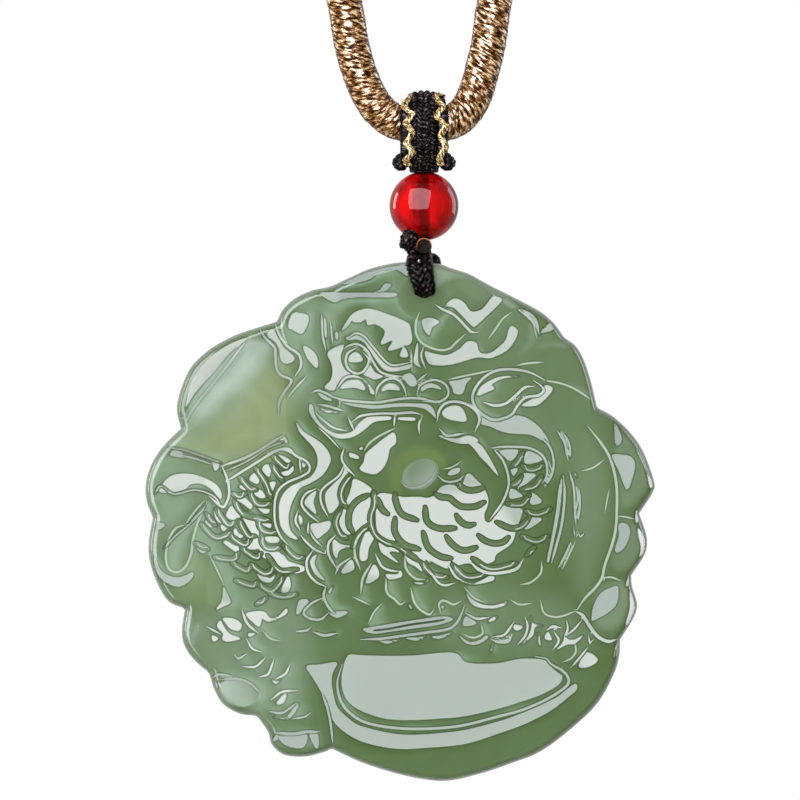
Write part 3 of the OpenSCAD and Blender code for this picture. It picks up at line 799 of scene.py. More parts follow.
# The low forms of the figure. Columns: X, Y, half width, half height, turn, height in
# millimetres over the floor, squareness, share that is rounded off
FLOOR = 2.9
forms = {
    "wing": (231, 396, 57, 66, 0, 1.7, 2.2, 0.6),
    "strand": (285, 349, 15, 34, 28, 1.55, 2.0, 0.6),
    "head": (372, 368, 92, 80, 0, 1.7, 2.6, 0.22),
    "left crest": (306, 330, 30, 34, 0, 1.7, 2.2, 0.5),
    "top crest": (405, 290, 100, 22, 2, 0.78, 2.4, 0.5),
    "nose": (480, 330, 68, 40, 10, 2.6, 2.4, 0.3),
    "brow": (378, 322, 38, 20, 8, 2.5, 2.4, 0.4),
    "lip": (384, 392, 72, 18, 0, 2.7, 3.0, 0.25),
    "jaw": (357, 424, 47, 24, 0, 2.3, 2.4, 0.35),
    "cheek ball": (459, 419, 20, 20, 0, 2.7, 2.0, 0.5),
    "ear": (509, 393, 39, 24, -8, 2.8, 2.4, 0.4),
    "cheek": (520, 440, 42, 28, 18, 1.9, 2.4, 0.3),
    "pearl": (419, 472, 20, 14, -27, 3.0, 2.0, 0.8),
    "beard": (378, 452, 26, 22, 0, 1.9, 2.2, 0.4),
    "mane": (304, 455, 26, 58, 8, 1.5, 2.4, 0.4),
    "scroll": (316, 512, 42, 42, 0, 1.85, 2.2, 0.3),
    "whisker": (480, 480, 32, 50, 8, 1.9, 2.4, 0.4),
    "flank": (565, 470, 68, 130, 0, 1.1, 2.6, 0.3),
    "haunch": (260, 545, 70, 92, 0, 1.25, 2.3, 0.35),
    "chest": (410, 555, 140, 74, 0, 1.55, 2.6, 0.25),
    "thigh": (530, 625, 82, 40, -4, 1.9, 2.5, 0.4),
    "strap": (408, 627, 50, 14, -6, 1.7, 3.0, 0.3),
    "panel rim": (448, 692, 128, 50, -8, 1.0, 2.6, 0.2),
    "panel": (450, 685, 112, 35, -4, 1.7, 3.2, 0.08),
    "paw": (232, 637, 48, 34, 0, 1.55, 2.3, 0.45),
    "toe": (238, 691, 26, 20, 0, 1.55, 2.0, 0.9),
    "shin": (290, 690, 32, 46, -14, 1.4, 2.4, 0.35),
    "foot": (298, 736, 28, 18, 0, 1.7, 2.8, 0.35),
    "tail tip": (175, 552, 25, 48, 0, 1.2, 2.2, 0.6),
    "tail": (184, 490, 40, 30, 0, 1.3, 2.2, 0.6),
    "upper lobe": (572, 378, 40, 44, 0, 0.95, 2.2, 0.5),
    "first edge lobe": (627, 468, 24, 38, -14, 1.05, 2.0, 0.8),
    "next edge lobe": (626, 541, 20, 32, 6, 1.05, 2.0, 0.8),
    "last edge lobe": (606, 606, 26, 34, 30, 1.05, 2.0, 0.8),
}
# How each part of the surface leans, in degrees to the right and down, how soft its border is
# and its outline. A face that looks straight out mirrors the light, and one that leans right
# or down shows the green stone.
GREEN = (14.0, -2.5)
leans = {
    "pearl": (9, -2, 12, [(403, 463), (420, 456), (436, 463), (437, 478), (424, 487), (406, 483)]),
    "wing": (13, -1.5, 6, [(186, 400), (205, 355), (245, 336), (276, 352), (284, 380), (281, 434),
        (225, 462), (172, 448)]),
    "wing sheen": (1, 0.5, 24, [(256, 343), (266, 350), (254, 366), (234, 384), (204, 408),
        (218, 388), (238, 364)]),
    "wing, between": (10, -1, 2, [(240, 345), (246, 349), (228, 372), (205, 398), (186, 424),
        (183, 418), (205, 384), (225, 360)]),
}
# Rounded forms: X, Y, half width, half height, turn, how steep its edge is (hollow where
# that is negative) and how far all of it leans to the right, in degrees
domes = {
    "toe": (239, 690, 21, 14, 8, 3, 7),
    "pearl": (418.5, 472, 18.5, 14.3, -27, -6, 8),
}
# Softly polished places: how dull, how soft its border is, and its outline
satin = {
    "wing": (0.9, 42, [(180, 410), (200, 350), (245, 332), (282, 345), (292, 380), (288, 445),
        (225, 470), (172, 452)]),
    "pearl": (1.0, 6, [(401, 480), (405, 467), (414, 459), (426, 456), (437, 461), (439, 470),
        (434, 480), (424, 487), (408, 488)]),
    "paw, sheen": (0.8, 5, [(202, 622), (196, 622), (190, 636), (193, 647), (198, 640)]),
    "toe": (0.9, 6, [(218, 685), (230, 675), (255, 682), (262, 695), (240, 706), (222, 700)]),
}
# Painted sheen: places painted paler to stand in for a soft sheen of light: how much, how soft its
# border is, and its outline
painted_sheen = {
    "round the hole": (0.12, 14, [(385, 270), (412, 266), (440, 268), (470, 282), (478, 300),
        (440, 324), (392, 322), (366, 302)]),
    "wing": (0.1, 60, [(180, 425), (186, 386), (205, 352), (245, 336), (272, 345), (262, 380),
        (225, 412)]),
    "left side": (0.22, 60, [(145, 480), (170, 440), (225, 462), (240, 520), (228, 585), (185, 600),
        (150, 560)]),
    "left edge": (0.3, 12, [(150, 470), (160, 455), (185, 452), (204, 461), (185, 461), (166, 466),
        (154, 482)]),
    "tail, drop": (0.28, 5, [(182, 526), (172, 540), (170, 560), (177, 567), (185, 562), (190, 548),
        (190, 530)]),
    "tail, end": (0.3, 8, [(210, 552), (222, 580), (228, 600), (212, 604), (206, 590)]),
    "paw": (0.25, 40, [(190, 610), (300, 600), (310, 660), (280, 720), (230, 690), (195, 650)]),
    "toe": (0.05, 8, [(222, 683), (236, 679), (250, 685), (256, 696), (242, 699), (228, 693)]),
    "foot": (0.3, 10, [(278, 735), (316, 733), (316, 744), (284, 744)]),
    "top, left": (0.2, 7, [(342, 283), (356, 275), (372, 268), (404, 262), (408, 272), (395, 270),
        (378, 274), (362, 282)]),
    "top, right": (0.5, 8, [(432, 267), (455, 270), (478, 280), (500, 292), (518, 306), (508, 306),
        (492, 293), (480, 284), (462, 277), (446, 280), (436, 286)]),
    "crest": (0.22, 24, [(285, 310), (320, 300), (345, 310), (325, 345), (320, 400), (292, 410),
        (296, 350)]),
    "crest, faint": (0.25, 7, [(528, 322), (536, 330), (534, 342), (524, 352), (516, 354),
        (526, 340)]),
    "side, faint 1": (0.25, 6, [(532, 349), (548, 340), (568, 342), (566, 347), (550, 346)]),
    "side, faint 2": (0.25, 6, [(562, 381), (580, 385), (594, 397), (592, 402), (576, 391)]),
    "flank, faint": (0.16, 30, [(575, 430), (600, 440), (612, 500), (600, 560), (580, 590),
        (572, 520)]),
    "lobe, high": (0.2, 10, [(615, 432), (640, 455), (648, 480), (634, 500), (620, 500)]),
    "lobe, middle": (0.2, 10, [(620, 518), (640, 530), (640, 550), (622, 568), (612, 560)]),
    "lobe, low": (0.3, 10, [(596, 590), (620, 580), (628, 600), (616, 625), (596, 622)]),
    "right": (0.1, 50, [(440, 300), (520, 300), (580, 350), (600, 430), (560, 470), (480, 420)]),
    "nose, top": (0.22, 16, [(452, 280), (480, 276), (510, 296), (500, 304), (470, 300)]),
    "thigh": (0.14, 30, [(440, 600), (500, 585), (560, 600), (590, 640), (520, 650), (450, 640)]),
    "nose": (0.14, 14, [(440, 290), (480, 282), (505, 300), (520, 330), (500, 345), (470, 340)]),
}
# Places where the light comes through the stone yellowish
glowing = {
    "wing": (0.95, 44, [(205, 432), (240, 398), (268, 366), (286, 372), (284, 440), (232, 460),
        (186, 446)]),
    "tail": (0.3, 12, [(190, 548), (212, 560), (228, 598), (206, 607), (184, 596), (176, 575)]),
    "round the pearl": (0.45, 9, [(396, 492), (390, 472), (400, 454), (418, 445), (436, 449),
        (446, 462), (438, 462), (426, 457), (412, 460), (403, 470), (401, 484)]),
}
# Facets whose colour is painted paler than the panel's, a painted highlight, and facets painted
# darker, a painted shade
painted_brighter = {
    "wing, strip": (0.6, 6, [(186, 402), (190, 372), (222, 345), (248, 334), (246, 346), (214, 380),
        (192, 408)]),
    "haunch": (0.75, 12, [(205, 470), (250, 455), (296, 455), (300, 480), (312, 530), (308, 590),
        (240, 560), (215, 530)]),
    "mane": (0.5, 12, [(285, 440), (330, 425), (352, 470), (345, 545), (318, 545), (305, 500)]),
    "jaw": (0.6, 6, [(325, 408), (372, 412), (420, 418), (424, 446), (400, 474), (352, 476),
        (338, 440)]),
    "belly": (0.6, 14, [(345, 480), (376, 474), (400, 488), (440, 492), (485, 488), (510, 520),
        (520, 560), (470, 585), (400, 580), (350, 560)]),
    "tail": (0.5, 8, [(158, 488), (175, 462), (212, 470), (232, 500), (222, 508), (190, 490)]),
    "paw": (0.7, 8, [(198, 615), (230, 600), (290, 605), (300, 640), (285, 700), (262, 690),
        (240, 650), (205, 645)]),
    "crest": (0.35, 8, [(268, 325), (290, 305), (325, 320), (325, 380), (300, 385), (275, 365)]),
    "cheek": (0.4, 8, [(325, 350), (380, 345), (400, 375), (385, 398), (340, 398), (322, 375)]),
    "brow": (0.3, 8, [(338, 310), (372, 298), (420, 320), (420, 360), (380, 345)]),
    "nose": (0.35, 10, [(432, 320), (450, 290), (520, 300), (522, 350), (470, 366), (430, 360)]),
    "ear": (0.45, 8, [(470, 385), (500, 370), (550, 380), (545, 405), (500, 410)]),
    "cheek ball": (0.4, 5, [(440, 404), (475, 404), (475, 428), (445, 428)]),
    "whisker": (0.35, 8, [(455, 430), (480, 430), (505, 470), (500, 500), (480, 470)]),
    "claws": (0.55, 10, [(480, 570), (500, 560), (620, 640), (600, 672), (540, 640), (480, 625)]),
    "right edge": (1.0, 3, [(634, 505), (662, 470), (662, 640), (622, 640), (622, 570),
        (634, 545)]),
}
painted_duller = {
    "top bevel": (0.9, 8, [(340, 262), (410, 256), (410, 280), (350, 305), (338, 290)]),
    "foot": (0.5, 8, [(270, 728), (335, 728), (335, 752), (275, 752)]),
    "lobe, notch": (0.95, 3, [(608, 420), (630, 420), (632, 448), (610, 448)]),
    "lobe, high": (0.2, 3, [(608, 450), (642, 450), (642, 492), (608, 492)]),
    "lobe, middle": (0.7, 3, [(608, 515), (634, 515), (634, 560), (608, 560)]),
    "lobe, low": (0.45, 10, [(585, 575), (622, 575), (622, 625), (585, 625)]),
    "strap": (0.5, 8, [(360, 615), (460, 605), (460, 640), (360, 645)]),
}
# Small flat facets that mirror the light, each a closed line
facets = {
    "panel": [
        [(351, 652), (347, 655), (344, 663), (342, 675), (343, 687), (348, 698), (358, 706),
         (372, 712), (388, 716), (408, 717), (433, 716), (465, 713), (500, 705), (519, 699),
         (537, 693), (553, 685), (560, 679), (561, 673), (557, 670), (547, 661), (543, 657),
         (521, 656), (500, 660), (480, 661), (465, 659), (452, 650), (410, 653), (370, 653)],
        [(307, 664), (320, 662), (337, 660), (333, 670), (332, 680), (334, 693), (338, 705),
         (348, 715), (358, 722), (375, 727), (395, 731), (415, 732), (442, 730), (465, 727),
         (500, 718), (522, 710), (543, 701), (557, 694), (567, 686), (575, 681), (576, 687),
         (568, 694), (557, 703), (543, 712), (522, 722), (500, 730), (465, 741), (425, 745),
         (400, 746), (378, 743), (358, 737), (342, 727), (333, 717), (330, 708), (322, 690),
         (313, 675)],
    ],
    "tail": [
        [(224, 585), (228, 592), (231, 600), (224, 604), (217, 607), (223, 598)],
        [(161, 490), (163, 483), (171, 475), (183, 472), (195, 473), (207, 477), (217, 483),
         (222, 491), (221, 497), (213, 488), (203, 482), (192, 482), (186, 487), (174, 490)],
        [(155, 555), (160, 566), (169, 573), (181, 575), (194, 570), (191, 578), (180, 584),
         (169, 581), (160, 574), (156, 565)], [(159, 521), (166, 523), (158, 528)],
        [(198, 545), (208, 548), (203, 551)], [(207, 513), (215, 521), (212, 520)],
        [(206, 518), (213, 525), (209, 524)],
    ],
    "wing": [
        [(171, 453), (177, 447), (184, 452), (187, 456), (178, 455)],
        [(248, 337), (235, 341), (221, 349), (209, 359), (199, 370), (192, 382), (188, 397),
         (187, 405), (197, 390), (214, 371), (230, 352), (240, 344)],
    ],
    "haunch": [
        [(213, 459), (220, 463), (216, 469)],
        [(250, 477), (255, 471), (259, 474), (260, 478), (258, 482), (253, 480)],
        [(263, 468), (266, 463), (272, 464), (271, 471), (269, 475)],
        [(279, 453), (285, 455), (291, 459), (288, 461), (283, 457)],
        [(281, 471), (287, 469), (293, 464), (294, 468), (291, 472), (286, 474)],
        [(270, 481), (276, 480), (275, 485), (272, 489)],
        [(254, 491), (261, 488), (266, 495), (261, 496)],
        [(240, 485), (244, 483), (252, 488), (247, 489)],
        [(236, 496), (244, 495), (249, 499), (253, 503), (251, 507), (244, 502)],
        [(232, 504), (236, 509), (241, 514), (235, 518), (227, 514)],
        [(244, 516), (255, 516), (256, 520), (259, 527), (257, 531), (251, 526)],
        [(258, 505), (265, 507), (270, 507), (269, 511), (264, 511)],
        [(262, 521), (271, 521), (271, 526), (266, 524)],
        [(266, 535), (278, 535), (279, 540), (269, 540)],
        [(236, 526), (239, 531), (244, 534), (239, 536), (234, 532)],
        [(222, 523), (233, 524), (228, 526), (224, 529)],
        [(215, 508), (219, 512), (222, 521), (217, 517)],
        [(224, 540), (228, 539), (234, 543), (240, 545), (238, 550), (231, 546)],
        [(254, 536), (258, 534), (261, 540), (266, 547), (276, 549), (281, 551), (276, 554),
         (265, 556), (260, 547)], [(286, 544), (290, 549), (300, 554), (291, 553)],
        [(277, 556), (288, 562), (299, 564), (289, 567), (281, 563)],
        [(258, 570), (270, 576), (276, 572), (271, 580), (262, 578)],
        [(284, 582), (289, 574), (291, 584), (286, 592), (282, 589)],
        [(263, 549), (275, 551), (284, 553), (289, 559), (304, 564), (305, 568), (296, 571),
         (285, 569), (276, 566), (268, 558)],
        [(243, 511), (254, 512), (256, 521), (259, 526), (259, 546), (243, 545), (250, 541),
         (253, 533), (248, 524)], [(300, 598), (309, 598), (304, 606), (297, 612)],
    ],
    "crest": [
        [(517, 308), (526, 312), (533, 318), (537, 327), (538, 332), (533, 323), (525, 315)],
        [(294, 312), (300, 312), (309, 316), (303, 332), (292, 328), (289, 326), (290, 319)],
        [(304, 345), (311, 348), (317, 355), (318, 367), (311, 361), (307, 355)],
        [(324, 318), (326, 319), (327, 336), (325, 334)],
        [(336, 331), (338, 332), (338, 338), (336, 337)],
        [(321, 292), (344, 292), (368, 292), (395, 292), (392, 296), (359, 296), (343, 298),
         (334, 301)], [(375, 290), (380, 289), (385, 283), (391, 284), (385, 290)],
        [(550, 321), (555, 323), (546, 328), (539, 334), (544, 327)],
        [(340, 283), (355, 276), (372, 268), (403, 262), (410, 266), (408, 275), (395, 268),
         (378, 272), (370, 278), (358, 281)],
    ],
    "strap": [
        [(363, 627), (376, 624), (400, 620), (426, 616), (443, 614), (453, 616), (446, 620),
         (433, 623), (411, 626), (390, 629), (374, 631)],
        [(377, 637), (387, 641), (400, 637), (388, 638)],
        [(405, 635), (416, 638), (425, 634), (415, 635)],
        [(431, 634), (440, 636), (452, 630), (440, 633)],
    ],
    "chest": [
        [(409, 601), (412, 606), (410, 606)],
        [(355, 477), (371, 486), (370, 492), (373, 506), (369, 520), (360, 527), (350, 532),
         (344, 530), (339, 520), (339, 512), (342, 507), (346, 500), (350, 491), (352, 484)],
        [(378, 493), (390, 492), (402, 495), (412, 495), (421, 495), (427, 496), (433, 494),
         (436, 491), (441, 485), (447, 483), (453, 483), (458, 485), (462, 482), (464, 478),
         (466, 473), (470, 472), (476, 478), (482, 484), (486, 491), (488, 499), (486, 507),
         (484, 512), (485, 519), (490, 520), (496, 512), (502, 504), (511, 505), (521, 507),
         (521, 513), (516, 526), (511, 541), (496, 552), (493, 559), (478, 563), (466, 561),
         (448, 566), (437, 562), (426, 557), (420, 566), (410, 549), (404, 545), (397, 550),
         (388, 540), (378, 530), (376, 512)],
        [(364, 534), (367, 530), (374, 530), (374, 536), (369, 546), (367, 557), (361, 558),
         (360, 547)],
        [(379, 539), (387, 545), (400, 542), (402, 545), (399, 549), (389, 550), (399, 561),
         (387, 554), (381, 549)],
        [(406, 548), (416, 552), (416, 556), (422, 569), (415, 564), (407, 559)],
        [(422, 544), (430, 554), (430, 561), (425, 554)],
        [(386, 572), (397, 572), (400, 568), (402, 574), (390, 577)],
        [(414, 580), (424, 580), (427, 576), (428, 579), (420, 582)],
        [(374, 562), (379, 574), (366, 581)], [(351, 557), (354, 567), (341, 571)],
        [(334, 537), (341, 542), (351, 544), (344, 546), (339, 549), (337, 556), (334, 552),
         (333, 544)],
        [(317, 552), (312, 556), (311, 562), (316, 572), (325, 578), (319, 570), (315, 562),
         (316, 556)], [(330, 610), (347, 609), (344, 613), (336, 615)],
        [(334, 583), (330, 591), (329, 589)],
    ],
    "thigh": [
        [(441, 603), (445, 605), (442, 606)],
        [(457, 576), (470, 581), (479, 579), (491, 573), (494, 576), (490, 579), (473, 582),
         (459, 578)],
        [(466, 590), (472, 597), (482, 602), (494, 603), (506, 599), (505, 602), (494, 606),
         (480, 605), (471, 601)], [(466, 614), (476, 621), (463, 623)],
        [(488, 619), (492, 615), (497, 614), (493, 618)],
        [(459, 633), (466, 638), (474, 639), (482, 636), (485, 633), (488, 634), (483, 639),
         (474, 642), (465, 640)], [(514, 622), (522, 624), (517, 628), (513, 626)],
        [(493, 640), (491, 649), (490, 648)],
    ],
    "paw": [
        [(221, 618), (224, 623), (230, 631), (241, 636), (228, 639), (223, 636), (224, 631),
         (218, 624)], [(224, 616), (233, 616), (242, 621), (240, 628), (231, 626), (227, 621)],
        [(213, 633), (219, 636), (214, 639)],
        [(247, 611), (264, 609), (271, 616), (280, 613), (287, 606), (287, 611), (277, 617),
         (268, 619), (263, 616), (260, 624), (253, 619)], [(249, 631), (256, 631), (250, 634)],
        [(530, 614), (533, 621), (542, 623), (534, 625), (532, 633), (521, 642), (528, 633),
         (531, 623)], [(538, 630), (540, 643), (538, 640)], [(547, 629), (551, 637), (544, 636)],
        [(564, 634), (568, 637), (574, 637), (582, 633), (574, 641), (566, 642), (556, 647),
         (562, 640)], [(586, 650), (597, 657), (589, 664), (578, 664)],
    ],
    "shin and foot": [
        [(273, 677), (277, 679), (282, 677), (276, 681)],
        [(277, 701), (283, 693), (287, 691), (284, 700)],
        [(274, 714), (287, 714), (297, 701), (299, 703), (289, 716)],
        [(281, 733), (306, 731), (304, 744), (291, 744), (282, 739)],
        [(310, 730), (318, 731), (318, 746), (313, 740)],
        [(273, 738), (277, 732), (279, 733), (275, 739)],
    ],
    "edge": [
        [(614, 421), (620, 433), (620, 441), (615, 444), (614, 433)],
        [(611, 454), (621, 453), (630, 455), (634, 463), (632, 474), (626, 488), (618, 469)],
        [(618, 522), (626, 522), (629, 530), (626, 541), (620, 549), (614, 549), (618, 534)],
        [(591, 614), (593, 603), (600, 591), (609, 586), (617, 585), (614, 604), (593, 618)],
        [(646, 470), (651, 477), (653, 482), (650, 487), (648, 481)],
        [(635, 509), (639, 511), (638, 519), (635, 521)],
        [(637, 526), (643, 534), (645, 543), (641, 558), (634, 571), (638, 557), (640, 545),
         (638, 536)], [(628, 574), (630, 577), (627, 584), (625, 583)],
        [(629, 589), (634, 596), (634, 608), (627, 625), (625, 621), (629, 606)],
        [(621, 634), (617, 643), (613, 656), (615, 644)],
    ],
    "strand": [[(272, 328), (268, 334), (276, 341), (280, 348), (281, 357), (285, 362), (292, 361),
        (295, 357), (291, 352), (284, 346), (279, 337), (275, 330)]],
    "mane": [
        [(297, 421), (304, 430), (312, 435), (321, 441), (328, 449), (331, 457), (329, 464),
         (322, 474), (311, 481), (301, 486), (295, 495), (291, 505), (289, 516), (291, 528),
         (298, 537), (289, 534), (282, 525), (280, 515), (280, 502), (284, 492), (291, 485),
         (301, 480), (311, 475), (317, 466), (318, 456), (314, 446), (306, 437), (300, 430)],
        [(303, 461), (306, 463), (305, 466), (302, 464)],
    ],
    "beard": [
        [(394, 431), (396, 441), (390, 447), (388, 456), (384, 465), (376, 472), (367, 471),
         (360, 467), (364, 460), (366, 452), (375, 444), (385, 436)],
        [(350, 451), (358, 454), (359, 457), (350, 455)], [(359, 447), (363, 445), (362, 448)],
    ],
    "scroll": [
        [(345, 466), (351, 470), (340, 482), (338, 491), (339, 502), (332, 511), (329, 510),
         (326, 500), (326, 491), (332, 484), (340, 476)],
        [(317, 489), (314, 500), (317, 512), (310, 507), (305, 501), (309, 494)],
        [(299, 512), (303, 517), (302, 524), (300, 520)],
        [(311, 523), (320, 521), (330, 519), (330, 526), (324, 532), (316, 536)],
    ],
    "pearl": [[(447, 473), (451, 468), (457, 466), (460, 467), (458, 471), (453, 473)]],
    "flank": [
        [(540, 331), (546, 325), (551, 321), (556, 322), (556, 326), (549, 330)],
        [(499, 449), (517, 448), (514, 456), (509, 459), (504, 455)],
        [(526, 450), (535, 452), (542, 457), (534, 461), (524, 461)],
        [(510, 466), (517, 467), (513, 474)],
        [(523, 472), (535, 473), (528, 480), (521, 485), (517, 487)],
        [(510, 487), (516, 489), (522, 494), (516, 496), (509, 496)],
        [(531, 491), (540, 497), (540, 501), (530, 502)],
        [(529, 516), (541, 517), (531, 525), (524, 527)],
        [(562, 473), (563, 477), (561, 490), (559, 508), (555, 530), (548, 560), (546, 560),
         (552, 530), (556, 505), (558, 487)], [(573, 471), (575, 472), (576, 476)],
    ],
    "whisker": [[(462, 437), (471, 439), (480, 443), (488, 454), (498, 474), (487, 462), (480, 455),
        (472, 445)]],
    "brow": [
        [(342, 329), (350, 316), (356, 311), (365, 308), (375, 309), (395, 316), (406, 321),
         (410, 325), (412, 339), (408, 344), (404, 344), (399, 347), (388, 349), (393, 339),
         (381, 343), (385, 330), (375, 323), (368, 324), (366, 318), (361, 321), (354, 321),
         (352, 319), (348, 325)], [(404, 346), (408, 355), (400, 355)],
        [(346, 337), (354, 334), (360, 335), (368, 341), (378, 354), (385, 362), (393, 366),
         (410, 363), (410, 367), (395, 370), (386, 369), (380, 364), (371, 351), (364, 341),
         (356, 338), (350, 339)],
    ],
    "eye": [[(349, 360), (350, 355), (353, 352), (356, 351), (360, 353), (363, 359), (357, 361)]],
    "cheek": [
        [(328, 352), (336, 346), (344, 344), (341, 354), (342, 362), (347, 370), (356, 374),
         (346, 376), (339, 381), (334, 389), (325, 386), (331, 379), (333, 369), (331, 360)],
        [(369, 363), (375, 371), (383, 375), (375, 378), (370, 376), (363, 372)],
        [(401, 376), (410, 372), (417, 380), (414, 385), (409, 384), (405, 379)],
        [(442, 411), (447, 406), (455, 404), (462, 407), (466, 419), (455, 419), (445, 416)],
    ],
    "mouth": [
        [(341, 387), (344, 382), (350, 379), (359, 379), (364, 384), (365, 389), (354, 386)],
        [(363, 377), (370, 384), (375, 392), (371, 392), (369, 385)],
        [(381, 391), (384, 385), (390, 382), (397, 384), (400, 389), (388, 388)],
        [(421, 390), (423, 384), (430, 382), (437, 384), (441, 388), (430, 386)],
        [(343, 401), (360, 402), (375, 404), (395, 402), (412, 402), (430, 404), (436, 417),
         (430, 411), (420, 406), (400, 405), (375, 407), (356, 405)],
        [(318, 392), (323, 393), (333, 399), (325, 398)],
        [(321, 407), (329, 409), (339, 411), (328, 411)],
        [(310, 403), (313, 404), (316, 415), (325, 426), (337, 432), (350, 431), (355, 427),
         (360, 421), (367, 416), (375, 415), (390, 415), (390, 418), (375, 420), (367, 426),
         (359, 432), (350, 436), (337, 436), (325, 429), (315, 419), (310, 410)],
        [(398, 416), (414, 416), (414, 419), (398, 418)],
        [(449, 380), (457, 379), (471, 376), (466, 382), (462, 392), (454, 392), (452, 386)],
        [(438, 434), (447, 435), (456, 437), (469, 434), (478, 439), (465, 442), (452, 440)],
    ],
    "nose": [
        [(417, 342), (418, 344), (418, 360), (421, 366), (414, 362), (414, 355)],
        [(445, 305), (451, 299), (457, 298), (464, 302), (470, 310), (478, 310), (484, 306),
         (492, 296), (497, 296), (501, 300), (485, 316), (475, 325), (471, 324), (454, 307)],
        [(422, 319), (427, 317), (432, 317), (439, 321), (432, 326), (429, 334), (425, 330),
         (423, 325)],
        [(425, 350), (432, 352), (444, 354), (452, 352), (460, 347), (466, 341), (471, 340),
         (476, 342), (478, 349), (481, 352), (489, 352), (497, 347), (505, 339), (508, 329),
         (511, 325), (517, 330), (513, 341), (505, 350), (495, 355), (488, 357), (477, 356),
         (466, 359), (456, 362), (444, 364), (430, 363), (426, 357)],
    ],
    "ear": [
        [(477, 394), (480, 386), (490, 379), (502, 375), (519, 375), (503, 377), (494, 381),
         (491, 384), (494, 387), (486, 391)],
        [(544, 384), (552, 387), (545, 397), (535, 404), (521, 404), (531, 398), (541, 392)],
        [(480, 412), (495, 419), (505, 418), (514, 414), (525, 416), (537, 424), (545, 434),
         (549, 443), (540, 438), (529, 433), (506, 431), (490, 425), (481, 422)],
    ],
    "leg band": [
        [(226, 467), (237, 463), (228, 471)], [(280, 438), (284, 434), (288, 441)],
    ],
}
facet_list = [line for group in facets.values() for line in group]
